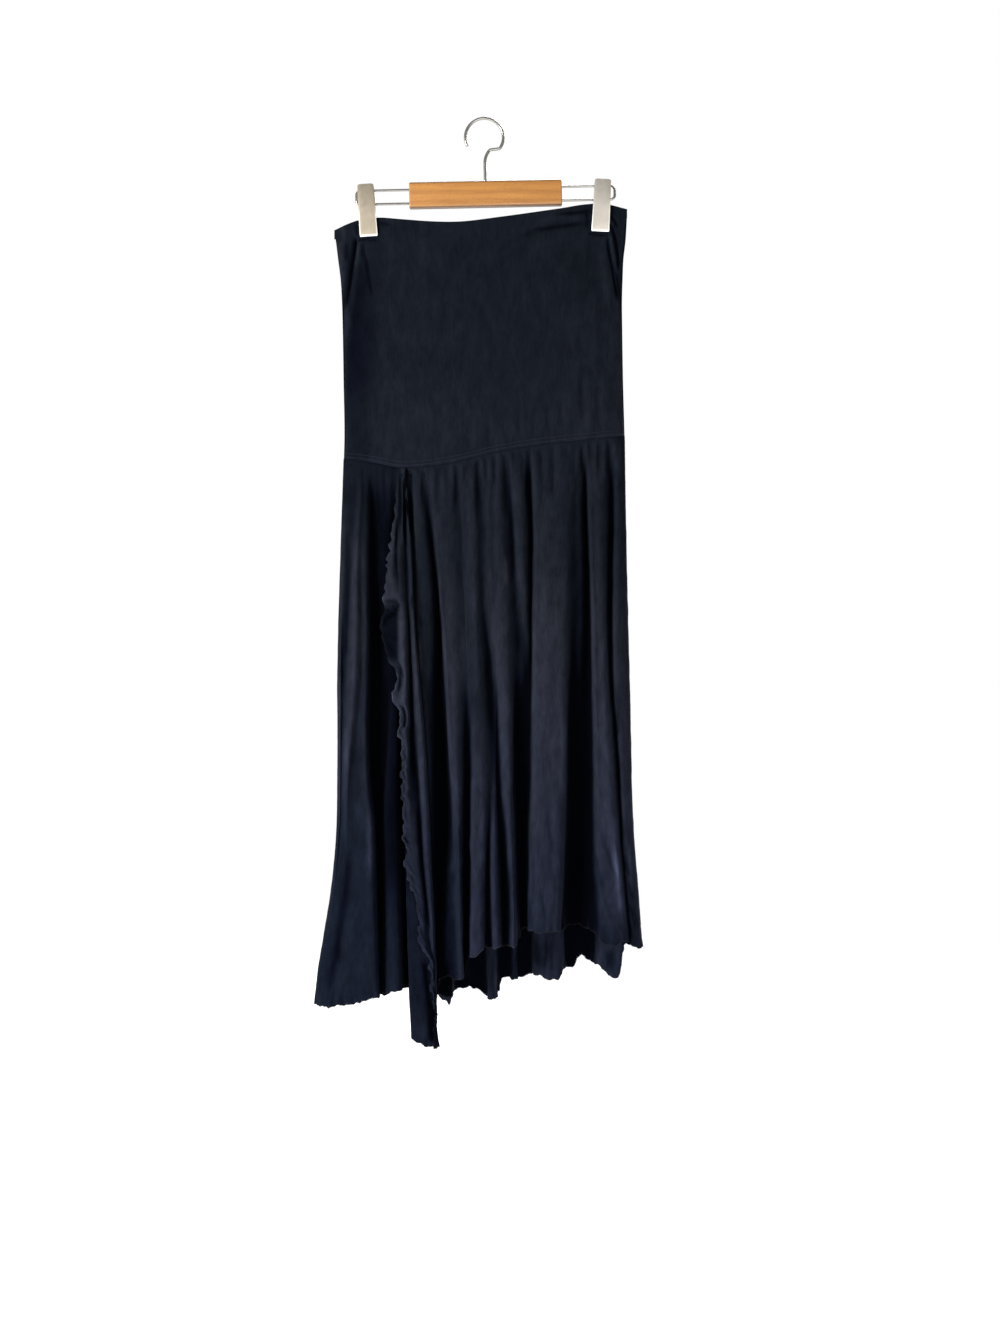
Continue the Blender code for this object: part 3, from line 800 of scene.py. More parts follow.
def set_painted_light(piece: Piece, pale_tone_and_painted_light: Array) -> None:
    """Stores the painted light of each vertex: on cloth about 1 on a lit crest and near 0 in the painted
    shade deep in a fold; on chrome 1 where a highlight is painted.
    """
    painted_light = piece.data.attributes.new("pale_tone_and_painted_light", "FLOAT", "POINT")
    painted_light.data.foreach_set("value", pale_tone_and_painted_light.astype(np.float32).ravel())


def linked(name: str, data: bpy.types.Mesh) -> Piece:
    """A new object of a mesh, in the scene."""
    piece = bpy.data.objects.new(name, data)
    bpy.context.scene.collection.objects.link(piece)
    return piece


def take_place(piece: Piece, node: str | tuple[str, ...]) -> None:
    """Parents a finished piece to the body and hides the CAD node or nodes it stands in for."""
    nodes = (node,) if isinstance(node, str) else node
    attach(piece, BODY)
    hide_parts(*nodes)


def made_plain(piece: Piece) -> Piece:
    """Turns a piece's evaluated shape into its own plain mesh, with no modifiers left."""
    graph = bpy.context.evaluated_depsgraph_get()
    data = bpy.data.meshes.new_from_object(piece.evaluated_get(graph))
    data.name = piece.name
    piece.modifiers.clear()
    piece.data = data
    return piece


@dataclass
class Panel:
    """What every cut piece has in common.

    `creases` shape the cloth. `pinches` are sharp little folds with painted shade along them,
    or a painted highlight where one is a ridge: each one's height is the share of the light it
    loses, or gains.
    """

    node: str
    side: Side
    outline: Outline
    cut: tuple[float, float]
    columns: int
    rows: int
    seed: int
    creases: tuple[Crease, ...] = ()
    pinches: tuple[Crease, ...] = ()
    brightest: float = 0.0
    thickness: float = 0.75 * MM

    def lift(self, x: Array, z: Array, pinched: float) -> Array:
        """How far creases and pinches move the cloth; `pinched` is a full pinch's depth."""
        lift = sum((crease.lift(x, z) for crease in self.creases), np.zeros(x.shape))
        return lift - pinched * sum((pinch.lift(x, z) for pinch in self.pinches), 0 * lift)

    def light(self, x: Array, z: Array) -> Array:
        """The share of painted light that the pinches leave."""
        share = np.ones(x.shape)
        for pinch in self.pinches:
            share *= 1 - np.clip(pinch.lift(x, z), -self.brightest, 0.97)
        return share

    def marked(self, x: Array, z: Array) -> Array:
        """The creases' lift alone."""
        return sum(crease.lift(x, z) for crease in self.creases)

    def build(self, knit: Material) -> tuple[Piece, Shell]:
        """Makes the piece of jersey in place of its CAD wall; returns it and its sheet."""
        shell = self.sheet()
        self.detail(shell)
        shell.pale_tone_and_painted_light = self.painted_light(shell)
        name = f"{self.node}_jersey"
        piece = mesh_of_shell(name, shell, self.side, self.thickness, knit)
        take_place(piece, self.node)
        LOG.info("%s: %s", name, shell.summary())
        return piece, shell


@dataclass
class GatheredPanel(Panel):
    """A panel that is gathered into the yoke's seam and hangs in folds to a curled hem.

    Its hem is a table of `hem_x` and `hem_z`. `levels` are the shares of its length at which
    each fold line has a control point, and `side_steps` the places of the lines next to a
    side seam, which runs from `seam_end` to `flare` times that at the hem. `shade` is the share
    of light painted out at the bottom of a deep fold, and `inner` is the painted light of the
    inner face in the open and what a fold adds to it.
    """

    runs: tuple[FoldRun, ...] = ()
    hem_x: Row = ()
    hem_z: Row = ()
    seam_on_left: bool = True
    seam_on_right: bool = True
    gathers: tuple[Gather, ...] = ()
    brightest: float = 1.5
    side_steps: Row = (0.975, 0.992, 1.0)
    seam_end: float = 167.0
    flare: float = 1.13
    levels: Row = (0, 0.02, 0.06, 0.12, 0.2, 0.3, 0.4, 0.5, 0.6, 0.7, 0.8, 0.88, 0.94, 0.98, 1)
    crispness: float = 0.75
    ripple: float = 1.6
    ripple_reach: float = 13.0
    unevenness: float = 0.5
    crumple: float = 0.22
    shade: float = 0.9
    inner: tuple[float, float] = (0.2, 0.75)
    blur: int = 7

    def hem(self, x: Array) -> Array:
        """The hem's height at x, its corners rounded."""
        spots = np.asarray(x, float)[..., None] + np.linspace(-2.4, 2.4, 9)
        return np.interp(spots, self.hem_x, self.hem_z).mean(-1)

    def density(self, run: Array) -> Array:
        """How much closer the sheet's columns are at each distance across."""
        return np.ones_like(run)

    def lap(self, x: float) -> float:
        """How far the panel starts behind the ring at the seam."""
        return 0.0

    def seam_darkening(self, x: Array, below: Array) -> Array:
        """The painted light at a distance below the seam: darker just under it."""
        return 0.62 + 0.38 * ease(below, 110, 260)

    def column(self, line: Line, heights: Row) -> Array:
        """A fold line from seam to hem, as one control point for each level."""
        top = float(self.outline.seam(line.x[0]))
        hem = line.hem if line.hem is not None else float(self.hem(line.x[-1]))
        z = top + (hem - top) * np.array(self.levels)
        x, back = through(z, heights, line.x), through(z, heights, line.back)
        lap = self.lap(line.x[0])
        drop = np.clip((top - z) / (top - heights[0] + 14), 0, 1)
        back = lap + (back - lap) * drop**1.5
        back[:2] = lap
        x[:2] = x[2] + (line.x[0] - x[2]) * np.array((1, 0.5))
        return np.stack([x, self.side.value * (self.outline.depth(x, z, self.side) - back), z], 1)

    def side_column(self, part: float, end: int) -> Array:
        """A line of the ring beside a side seam; end is -1 on the left, 1 on the right."""
        edge = self.seam_end * end
        top, hem = float(self.outline.seam(edge)), float(self.hem(edge * self.flare))
        z = top + (hem - top) * np.array(self.levels)
        left, right = self.outline.column("left", z), self.outline.column("right", z)
        x = (left + right) / 2 + end * part * (right - left) / 2
        return np.stack([x, self.side.value * self.outline.depth(x, z, self.side), z], 1)

    def control(self) -> tuple[Array, Array]:
        """The control points, columns from left to right and levels down each.

        Returns:
            The points; and for each column, 1 where its line has a hem of its own.
        """
        lines = [(run, line) for run in self.runs for fold in run.folds for line in fold.lines()]
        made = [self.column(line, run.heights) for run, line in lines]
        own = [float(line.hem is not None) for _, line in lines]
        beside = [0.0] * len(self.side_steps)
        if self.seam_on_left:
            made = [self.side_column(part, -1) for part in self.side_steps[::-1]] + made
            own = beside + own
        if self.seam_on_right:
            made += [self.side_column(part, 1) for part in self.side_steps]
            own = own + beside
        return np.array(made), np.array(own)

    def sheet(self) -> Shell:
        """The smooth sheet through the control points, hung from the seam."""
        control, own = self.control()
        count, levels = control.shape[:2]
        fine = np.linspace(0, count - 1, 16 * count)
        dense = np.einsum("ai,ijk->ajk", spline_weights(count, fine, self.crispness), control)
        steps = np.linalg.norm(np.diff(dense, axis=0), axis=2)[:, 2:].mean(1)
        run = np.concatenate([[0], np.cumsum(steps * self.density(np.cumsum(steps)))])
        t = np.interp(np.linspace(0, run[-1], self.columns), run, fine)
        wide = spline_weights(count, t, self.crispness)
        even = np.linspace(0, 1, self.rows)
        share = 0.72 * even + 0.28 * (1 - np.cos(math.pi * even)) / 2
        s = np.interp(share, np.array(self.levels), np.arange(levels))
        points = np.einsum("ai,ijk,dj->dak", wide, control, spline_weights(levels, s, 0.3))
        top = points[0]
        seam = self.outline.seam(top[:, 0])
        laps = wide @ np.array([self.lap(c[0, 0]) for c in control])
        stand = self.outline.depth(top[:, 0], seam, self.side) - laps
        shift = np.stack([0 * seam, self.side.value * stand - top[:, 1], seam - top[:, 2]], 1)
        points = points + ((1 - share) ** 8)[:, None, None] * shift
        low = points[-1]
        drop = (self.hem(low[:, 0]) - low[:, 2]) * np.clip(1 - 1.5 * (wide @ own), 0, 1)
        points[:, :, 2] += ease(share, 0.88, 1)[:, None] * drop
        return Shell(points)

    def detail(self, shell: Shell) -> None:
        """Adds the gathers, creases, unevenness and curled hem."""
        x, z = shell.plan()
        below = self.outline.seam(x) - z
        lift = self.lift(x, z, 1.5)
        for gather in self.gathers:
            start = band(below, 1.0, 9.0, 0.3 * gather.length, gather.length)
            lift -= gather.depth * bell(x, gather.x, gather.width) * start
        down, across = shell.run_down(), shell.run_across()
        lift += self.unevenness * wander(across, down, 46, 210, self.seed) * ease(below, 20, 160)
        fine = 0.6 + 0.9 * ease(below, 380, 600)
        lift += self.crumple * fine * wander(across, down, 15, 44, self.seed + 9)
        shell.push(lift * ease(below, 0, 6), self.side)
        self.curl_hem(shell)

    def curl_hem(self, shell: Shell) -> None:
        """Ripples the hem in and out, and a little up and down."""
        down = shell.run_down()
        distance = down[-1:] - down
        run = np.broadcast_to(shell.run_across()[-1], distance.shape)
        wave_out = lettuce(distance, run, self.ripple_reach, self.seed)
        shell.push(self.ripple * wave_out, self.side)
        dip = lettuce(distance, run, self.ripple_reach * 0.7, self.seed + 40)
        shell.points[:, :, 2] += 0.9 * self.ripple * dip

    def painted_light(self, shell: Shell) -> Array:
        """Painted shade at each point: crests lit; deep folds, gathers and pinches darkened."""
        x, z = shell.plan()
        height = self.side.value * shell.points[:, :, 1]
        back = self.outline.depth(x, z, self.side) - height
        trough = blurred(height, self.blur) - height
        outer = 1 - self.shade * ease(back, 1, 15) - 0.16 * trough + 0.05 * self.marked(x, z)
        inner = self.inner[0] + self.inner[1] * ease(back, 2, 15)
        pale_tone_and_painted_light = np.clip(np.stack([outer, inner]), 0.045, 1.3)
        pale_tone_and_painted_light[0] *= self.seam_darkening(x, self.outline.seam(x) - z)
        return pale_tone_and_painted_light * self.light(x, z)


@dataclass
class WrapFront(GatheredPanel):
    """The overlapping front: its free edge falls in a ruffled cascade to a long corner.

    The free edge is a table of heights, of x, and of how far it stands forward.
    """

    edge_z: Row = (
        -428.5, -476, -517.5, -559, -573, -577, -582, -586.5, -591, -598.5, -609, -624.5, -642,
        -651, -657.5, -668, -676.5, -683.5, -692, -699, -706, -715.5, -725, -732, -739, -749.5,
        -757, -768.5, -778, -790, -797, -804, -810, -818, -830, -841.5, -851, -858, -864, -868.5,
        -875.5, -886.5, -893.5, -901.5, -912, -921.5, -931, -942.5, -952, -961.5, -969.5, -982.5,
        -989.5, -997, -1002.5, -1031, -1052, -1065, -1081.5, -1091, -1103)
    edge_x: Row = (
        -102.5, -105.5, -112, -116.5, -118.5, -119, -117, -119, -117.5, -121, -122.5, -119.5,
        -114.5, -113, -105, -102, -103, -106, -108, -107.5, -100, -98, -99, -102.5, -99, -96.5,
        -96, -96.5, -97.5, -95.5, -95.5, -98, -97.5, -94, -95, -94, -94, -96.5, -93, -89.5, -90.5,
        -93.5, -92, -90, -87.5, -83.5, -80, -78, -77, -76, -78, -75, -72, -67.5, -63.5, -62,
        -59.5, -56, -58.5, -56, -58.5)
    edge_forward: Row = (
        0, 1, 1.5, 2, 2.5, 1, 0, 1, 0, 1, 1, 0, 1, 2, -1, -2, -1, 1, 2, 1, -1, -2, -1, 1, 0, 0,
        -1, 1, 1, -1, 0, 1, 0, -1, 1, 0, 0, 1.5, 0, -1.5, -1, 1, 1, 0, -1, -1, 0, 1, 0, 1, 1, 0,
        0, -1, 0, 0, 0, 0, 0, 0, 0)
    edge_reach: float = 13.0
    ruffle: float = 2.4
    ruffle_start: float = -105.0

    def density(self, run: Array) -> Array:
        """The cascade's columns are closer."""
        return 1 + 2.0 * (1 - ease(run, 45, 100))

    def seam_darkening(self, x: Array, below: Array) -> Array:
        """The cascade is not darkened below the seam; the rest is as on every panel."""
        return 1 + ease(x, -99, -92) * (super().seam_darkening(x, below) - 1)

    def detail(self, shell: Shell) -> None:
        """Adds the panel's detail, then draws the free edge through its ruffles."""
        super().detail(shell)
        z = shell.points[:, 0, 2]
        heights = -np.array(self.edge_z)
        target_x = np.interp(-z, heights, self.edge_x)
        forward = np.interp(-z, heights, self.edge_forward)
        fade = bell(shell.run_across(), 0, self.edge_reach)
        below = self.outline.seam(self.ruffle_start) - z
        start = ease(below, 0, 12)
        shell.points[:, :, 0] += fade * (start * (target_x - shell.points[:, 0, 0]))[:, None]
        shell.points[:, :, 1] -= fade * (start * forward)[:, None]
        grown = (start * (0.25 + 0.75 * ease(below, 15, 90)))[:, None]
        ruffle = lettuce(shell.run_across(), shell.run_down(), 6.5, self.seed + 70)
        shell.push(self.ruffle * ruffle * grown, self.side)
        sway = lettuce(shell.run_across(), shell.run_down(), 6.0, self.seed + 71)
        shell.points[:, :, 0] += 1.1 * sway * grown

    def painted_light(self, shell: Shell) -> Array:
        """The panel's painted shade, with painted shade or painted light added to stretches of folds by
        their place.
        """
        pale_tone_and_painted_light = super().painted_light(shell)
        x, z = shell.plan()
        down = -z
        # Painted shade in the hollow under the first ruffled lobe and on the lobe above it; `pale` marks a
        # strip of painted light near the free edge.
        hollow_of_lobe = (1 - ease(x, -103.5, -99.5)) * band(down, 574, 590, 640, 664)
        upper_lobe = (1 - ease(x, -104, -98)) * band(down, 522, 534, 566, 574)
        pale = ease(down, 520, 580) * (1 - 0.6 * ease(down, 690, 760))
        # Each loss is a share of painted light taken away; the negative ones add painted light.
        losses = (
            0.88 * hollow_of_lobe,
            0.2 * ease(down, 700, 900),
            0.2 * upper_lobe,
            0.22 * ease(x, 153, 160) * (1 - ease(down, 740, 840)),
            0.4 * ease(x, 30, 60) * ease(down, 925, 1000),
            -0.2 * (1 - ease(x, -96, -86)) * pale,
            0.28 * band(x, -66, -56, -26, -16) * ease(down, 810, 870),
            0.3 * bell(x, -10, 9) * band(down, 660, 700, 750, 800),
            -0.22 * ease(x, 132, 140) * band(down, 680, 730, 840, 890),
        )
        for loss in losses:
            pale_tone_and_painted_light[0] *= 1 - loss
        # A painted highlight along the free edge, weaker in the lobe's hollow.
        edge = bell(shell.run_across(), 0, 2.6)
        pale_tone_and_painted_light[0] += 0.3 * edge * (1 - 0.6 * hollow_of_lobe)
        # Painted shade on the cascade's top, just under the seam.
        pale_tone_and_painted_light[0] *= 1 - 0.55 * (1 - ease(x, -100, -96)) * (1 - ease(down, 450, 515))
        # The inner face, which shows at the cascade's corner, is in painted shade that lightens towards the
        # bottom.
        pale_tone_and_painted_light[1] *= 0.17 + 0.25 * ease(down, 895, 945) + 0.22 * ease(down, 1060, 1095)
        return pale_tone_and_painted_light


@dataclass
class UnderFront(GatheredPanel):
    """The front's under layer: it passes behind the cascade to its own free edge."""

    def lap(self, x: float) -> float:
        """How far the panel starts behind the ring at the seam."""
        return 1.9 * float(np.clip((x + 112) / 6, 0, 1))

    def seam_darkening(self, x: Array, below: Array) -> Array:
        """The painted light at a distance below the seam: darker just under it."""
        return 0.4 + 0.6 * ease(below, 30, 130)

    def painted_light(self, shell: Shell) -> Array:
        """The panel's painted shade: darker low down, and darkest beside the cascade, in its painted shade.
        """
        pale_tone_and_painted_light = super().painted_light(shell)
        x, z = shell.plan()
        beside = bell(x, -109, 9) * band(-z, 700, 800, 890, 960)
        pale_tone_and_painted_light[0] *= 0.92 * (1 - 0.5 * ease(-z, 760, 880)) * (1 - 0.55 * beside)
        return pale_tone_and_painted_light


@dataclass
class YokePanel(Panel):
    """One side of the wide yoke, folded over at the waist and held by the clips.

    The clips hold it no more than `held` from the mid-plane. The back's edge is lower than
    the front's by `back_lower`, and the turned-in edge reaches down by `turn_in`.
    """

    fold_rows: int = 14
    turn_in: float = 9.0
    layer: float = 0.85
    held: float = 1.5
    back_lower: float = 1.0
    clips_x: tuple[float, float] = (-143.0, 140.0)
    unevenness: float = 0.2
    thickness: float = 0.72 * MM

    def grip(self, x: Array, z: Array) -> Array:
        """1 where a clip holds the cloth flat, falling to 0 around and below it."""
        share = np.zeros_like(x)
        below = np.clip((-158 - z) / 90, 0, 1)
        for clip in self.clips_x:
            across = np.clip((np.abs(x - clip - 1.9) - 16) / 56, 0, 1)
            share = np.maximum(share, (1 - across**0.8) * (1 - below) ** 2)
        return share

    def sheet(self) -> Shell:
        """The outer face, from the turned-in edge over the waist's fold to the seam."""
        even = np.linspace(-1, 1, self.columns)
        part = 0.5 + np.sign(even) * (1 - (1 - np.abs(even)) ** 1.5) / 2
        level = np.linspace(0, 1, self.rows)[:, None] ** 1.15
        waist, seam = self.outline.rings[1], self.outline.rings[8]
        top_x = waist.left + (waist.right - waist.left) * part
        low_x = seam.left + (seam.right - seam.left) * part
        top = self.outline.waist(top_x) - (self.back_lower if self.side is Side.BACK else 0)
        z = top + (self.outline.seam(low_x) - top) * level
        left, right = self.outline.column("left", z), self.outline.column("right", z)
        x = left + (right - left) * part
        depth = self.outline.depth(x, z, self.side)
        depth = depth + (np.minimum(depth, self.held) - depth) * self.grip(x, z)
        sewn = (1 - ease(np.minimum(x - left, right - x), 0.5, 3.5)) * ease(top - z, 12, 24)
        depth = depth + (np.minimum(depth, self.outline.side_gap) - depth) * sewn
        outer = np.stack([x, self.side.value * depth, z], 2)
        return Shell(np.concatenate([self.turned(outer[0]), outer]))

    def turned(self, edge: Array) -> Array:
        """The rows from the turned-in edge up to the fold, above the outer face's top row."""
        r = self.layer / 2
        turns = np.linspace(0, math.pi, 9)[1:-1]
        inside = [(2 * r, -down) for down in np.linspace(self.turn_in, 0, self.fold_rows - 8)]
        over = [(r * (1 + math.cos(turn)), r * math.sin(turn) * 1.4) for turn in turns]
        return np.array([edge + (0, -self.side.value * inward, up) for inward, up in inside + over])

    def detail(self, shell: Shell) -> None:
        """Adds the drag folds, the seam's ridge and a slight unevenness."""
        x, z = shell.plan()
        above = z - self.outline.seam(x)
        lift = self.lift(x, z, 1.3) + 0.5 * bell(above, 5, 4.5)
        waves = wander(x, z, 130, 170, self.seed)
        lift += self.unevenness * waves * (1 - self.grip(x, z)) * ease(above, 2, 40)
        lift *= ease(self.outline.waist(x) - z, 0.5, 7.0)
        lift[: self.fold_rows] = 0
        shell.push(lift, self.side)

    def painted_light(self, shell: Shell) -> Array:
        """The yoke's painted shade: darker overall than the panels below, lighter near the seam, darkened
        in its troughs and by its pinches.
        """
        height = self.side.value * shell.points[:, :, 1]
        trough = blurred(height, 9) - height
        x, z = shell.plan()
        down = -z
        # Painted shade and painted light on the yoke's left and right parts, by the clips and the
        # turned-under flaps: positive terms darken, negative ones lighten.
        turned = (
            0.56 * (1 - ease(x, -160, -112)) * ease(down, 160, 245)
            + 0.25 * ease(x, 150, 157) * (1 - ease(down, 180, 215))
            - 0.7 * (1 - ease(x, -171, -164)) * (1 - ease(down, 195, 235))
            - 0.1 * ease(x, 60, 120) * ease(down, 200, 240)
            + 0.16 * band(x, -168, -160, -136, -122) * band(down, 205, 230, 310, 345)
            - 0.7 * bell(x, -164.5, 4.5) * bell(z, -241, 22)
        )
        outer = 0.57 + 0.1 * ease(down, 300, 380) - 0.2 * trough + 0.04 * self.marked(x, z)
        outer *= (1 - turned) * self.light(x, z)
        return np.clip(np.stack([outer, outer]), 0.03, 1.0)


# ---------------- threads
@dataclass
class StitchTool:
    """Geometry Nodes that lay one short thread at every point of a mesh."""

    thread: Material
    name: str = "thread_at_points"
    tree: Tree | None = None

    def group(self) -> Tree:
        """Builds the node group once."""
        if self.tree:
            return self.tree
        tree = bpy.data.node_groups.new(self.name, "GeometryNodeTree")
        self.tree = tree
        kinds = {"Points": "Geometry", "Thread size": "Vector", "Unevenness": "Vector",
                 "Seed": "Int", "Thread": "Material"}
        for label, kind in kinds.items():
            tree.interface.new_socket(label, in_out="INPUT", socket_type=f"NodeSocket{kind}")
        tree.interface.new_socket("Threads", in_out="OUTPUT", socket_type="NodeSocketGeometry")
        given = add_node(tree, "NodeGroupInput").outputs
        ball = {"Segments": 6, "Rings": 5, "Radius": 0.5}
        thread = add_node(tree, "GeometryNodeMeshUVSphere", None, ball).outputs["Mesh"]
        thread = self.step("Transform", {"Geometry": thread, "Scale": given["Thread size"]})
        turn = add_node(tree, "GeometryNodeInputNamedAttribute", {"data_type": "FLOAT_VECTOR"},
                        {"Name": "turn"})
        low = add_node(tree, "ShaderNodeVectorMath", {"operation": "SCALE"},
                       {0: given["Unevenness"], "Scale": -1.0})
        sway = add_node(tree, "FunctionNodeRandomValue", {"data_type": "FLOAT_VECTOR"},
                        {0: low.outputs[0], 1: given["Unevenness"], "Seed": given["Seed"]})
        total = add_node(tree, "ShaderNodeVectorMath", {"operation": "ADD"},
                         {0: turn.outputs[0], 1: sway.outputs[0]}).outputs[0]
        laid = self.step("InstanceOnPoints",
                         {"Points": given["Points"], "Instance": thread, "Rotation": total})
        smooth = self.step("SetShadeSmooth",
                           {"Geometry": self.step("RealizeInstances", {"Geometry": laid})})
        done = self.step("SetMaterial", {"Geometry": smooth, "Material": given["Thread"]})
        add_node(tree, "NodeGroupOutput", None, {"Threads": done})
        return tree

    def step(self, kind: str, links: dict) -> Socket:
        """Adds a geometry node to the group and returns its geometry."""
        return add_node(self.tree, f"GeometryNode{kind}", None, links).outputs[0]

    def lay(self, name: str, points: Array, turns: Array, pale_tone_and_painted_light: Array,
            size: Triple, seed: int) -> Piece:
        """Lays a thread at each point.

        Args:
            name: the piece's name.
            points: the threads' middles, in millimetres.
            turns: their Euler angles.
            pale_tone_and_painted_light: the share of light painted on each one.
            size: length, width and thickness of a thread, in millimetres.
            seed: sets the unevenness.

        Returns:
            The threads as one plain piece.
        """
        data = bpy.data.meshes.new(name)
        data.from_pydata((points * MM).tolist(), [], [])
        turn = data.attributes.new("turn", "FLOAT_VECTOR", "POINT")
        turn.data.foreach_set("vector", turns.astype(np.float32).ravel())
        piece = linked(name, data)
        step = piece.modifiers.new("threads", "NODES")
        step.node_group = self.group()
        values = {
            "Thread size": tuple(v * MM for v in size),
            "Unevenness": (0.04, 0.04, 0.1),
            "Seed": seed,
            "Thread": self.thread,
        }
        for socket in step.node_group.interface.items_tree:
            if socket.in_out == "INPUT" and socket.name in values:
                step[socket.identifier] = values[socket.name]
        made_plain(piece)
        set_painted_light(piece, np.repeat(pale_tone_and_painted_light, len(piece.data.vertices) // len(points)))
        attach(piece, BODY)
        return piece


def along_line(points: Array, normals: Array, pitch: float,
               slant: float = 0.0) -> tuple[Array, Array, Array]:
    """Spaces threads along a line.

    Args:
        points: the line's points.
        normals: the cloth's normals there.
        pitch: between threads, in millimetres.
        slant: of each thread to the line, in degrees.

    Returns:
        The threads' middles; their Euler angles, X along the thread and Z out of the cloth;
        and their places, counted in points of the line.
    """
    steps = np.linalg.norm(np.diff(points, axis=0), axis=1)
    run = np.concatenate([[0], np.cumsum(steps)])
    at = np.arange(pitch / 2, run[-1], pitch)
    middle, before, after, out = (
        np.stack([np.interp(at + shift, run, values[:, i]) for i in range(3)], 1)
        for values, shift in ((points, 0), (points, -pitch / 3), (points, pitch / 3), (normals, 0))
    )
    slanted = Matrix.Rotation(math.radians(slant), 3, "Z")
    turns = []
    for tangent, normal in zip(after - before, out):
        x, z = Vector(tangent).normalized(), Vector(normal)
        z = (z - x * z.dot(x)).normalized()
        turns.append(tuple((Matrix((x, z.cross(x), z)).transposed() @ slanted).to_euler()))
    return middle, np.array(turns), np.interp(at, run, np.arange(len(run)))


@dataclass
class CoverStitch:
    """The two needle lines that hold the yoke's seam, a few millimetres above it."""

    tool: StitchTool
    above: tuple[float, float] = (2.8, 7.0)
    pitch: float = 3.3
    size: Triple = (2.7, 0.62, 0.5)

    def sew(self, name: str, yoke: Shell, outline: Outline, side: Side) -> Piece:
        """Sews both lines on one side of the yoke."""
        middles, turns = [], []
        for above in self.above:
            points, normals = yoke.trace(lambda x: outline.seam(x) + above)
            out = normals * -side.value
            middle, turn, _ = along_line(points + out * 0.42, out, self.pitch)
            middles.append(middle[1:-1])
            turns.append(turn[1:-1])
        spots = np.concatenate(middles)
        pale_tone_and_painted_light = np.ones(len(spots))
        return self.tool.lay(name, spots, np.concatenate(turns), pale_tone_and_painted_light, self.size, 5)


@dataclass
class OverlockedHem:
    """Thread loops that roll a stretched edge into a fine bead."""

    tool: StitchTool
    pitch: float = 1.35
    size: Triple = (2.3, 1.0, 1.25)

    def sew(self, name: str, points: Array, normals: Array, pale_tone_and_painted_light: Array) -> Piece:
        """Wraps loops over an edge, each loop darkened by the painted light given at the edge's points."""
        middle, turn, places = along_line(points, normals, self.pitch, slant=72)
        # Painted shade: the loops are darkened more steeply than the cloth, so they sink into its painted
        # shade.
        threads_painted_light = np.interp(places, np.arange(len(pale_tone_and_painted_light)), pale_tone_and_painted_light**2.4)
        return self.tool.lay(name, middle, turn, threads_painted_light, self.size, 9)


# ---------------- the hanger
@dataclass(frozen=True)
class HangerFrame:
    """Places the hanger's pieces: the hanger leans about the rail, each clip about its rod."""

    tilt: float = -1.2
    rods_drop: float = 90.5

    def hanger(self) -> Matrix:
        """The hanger's own frame."""
        return Matrix.Rotation(math.radians(self.tilt), 4, "Y")

    def clip(self, x: float, lean: float) -> Matrix:
        """A clip's own frame, midway between the rods."""
        place = Matrix.Translation(Vector((x * MM, 0, -self.rods_drop * MM)))
        return self.hanger() @ place @ Matrix.Rotation(math.radians(lean), 4, "Y")


def bridge(mesh: Mesh, one: list, two: list, closed: bool = True) -> None:
    """Joins two rings of vertices, or two rows, with quads."""
    count = len(one)
    for k in range(count if closed else count - 1):
        n = (k + 1) % count
        mesh.faces.new((one[k], one[n], two[n], two[k]))


def new_piece(name: str, mesh: Mesh, place: Matrix, material: Material) -> Piece:
    """Makes a piece at the origin of a mesh in metres, moved by its place and then freed."""
    mesh.transform(place)
    data = bpy.data.meshes.new(name)
    mesh.to_mesh(data)
    mesh.free()
    data.shade_smooth()
    data.materials.append(material)
    return linked(name, data)


def arc(centre: tuple[float, float], radius: float, start: float, stop: float,
        count: int) -> list[Vector]:
    """Points of an arc in the XZ plane, in millimetres; angles are degrees from +X."""
    turns = np.radians(np.linspace(start, stop, count))
    return [
        Vector((centre[0] + radius * math.cos(a), 0, centre[1] + radius * math.sin(a)))
        for a in turns
    ]


def wire(name: str, points: list[Vector], radius: float, place: Matrix, material: Material,
         closed: bool = False, sides: int = 20) -> Piece:
    """Makes a round wire along a line of points.

    Args:
        name: the piece's name.
        points: the wire's middle line, in millimetres in its own frame.
        radius: of the wire, in millimetres.
        place: that frame.
        material: its finish.
        closed: whether the ends meet.
        sides: of the wire's section.

    Returns:
        The wire as a closed mesh.
    """
    count = len(points)
    mesh = bmesh.new()
    rings = []
    across = None
    for i, point in enumerate(points):
        before = points[i - 1] if closed or i else point
        after = points[(i + 1) % count] if closed or i < count - 1 else point
        tangent = (after - before).normalized()
        if across is None:
            across = tangent.orthogonal().normalized()
        across = (across - tangent * across.dot(tangent)).normalized()
        second = tangent.cross(across)
        reach = radius * (1.0 if closed or 0 < i < count - 1 else END_SHARE)
        turns = [2 * math.pi * k / sides for k in range(sides)]
        rings.append([
            mesh.verts.new((point + (across * math.cos(a) + second * math.sin(a)) * reach) * MM)
            for a in turns
        ])
    for one, two in zip(rings, rings[1:] + rings[:1] if closed else rings[1:]):
        bridge(mesh, one, two)
    if not closed:
        mesh.faces.new(rings[0][::-1])
        mesh.faces.new(rings[-1])
    bmesh.ops.recalc_face_normals(mesh, faces=mesh.faces)
    return new_piece(name, mesh, place, material)


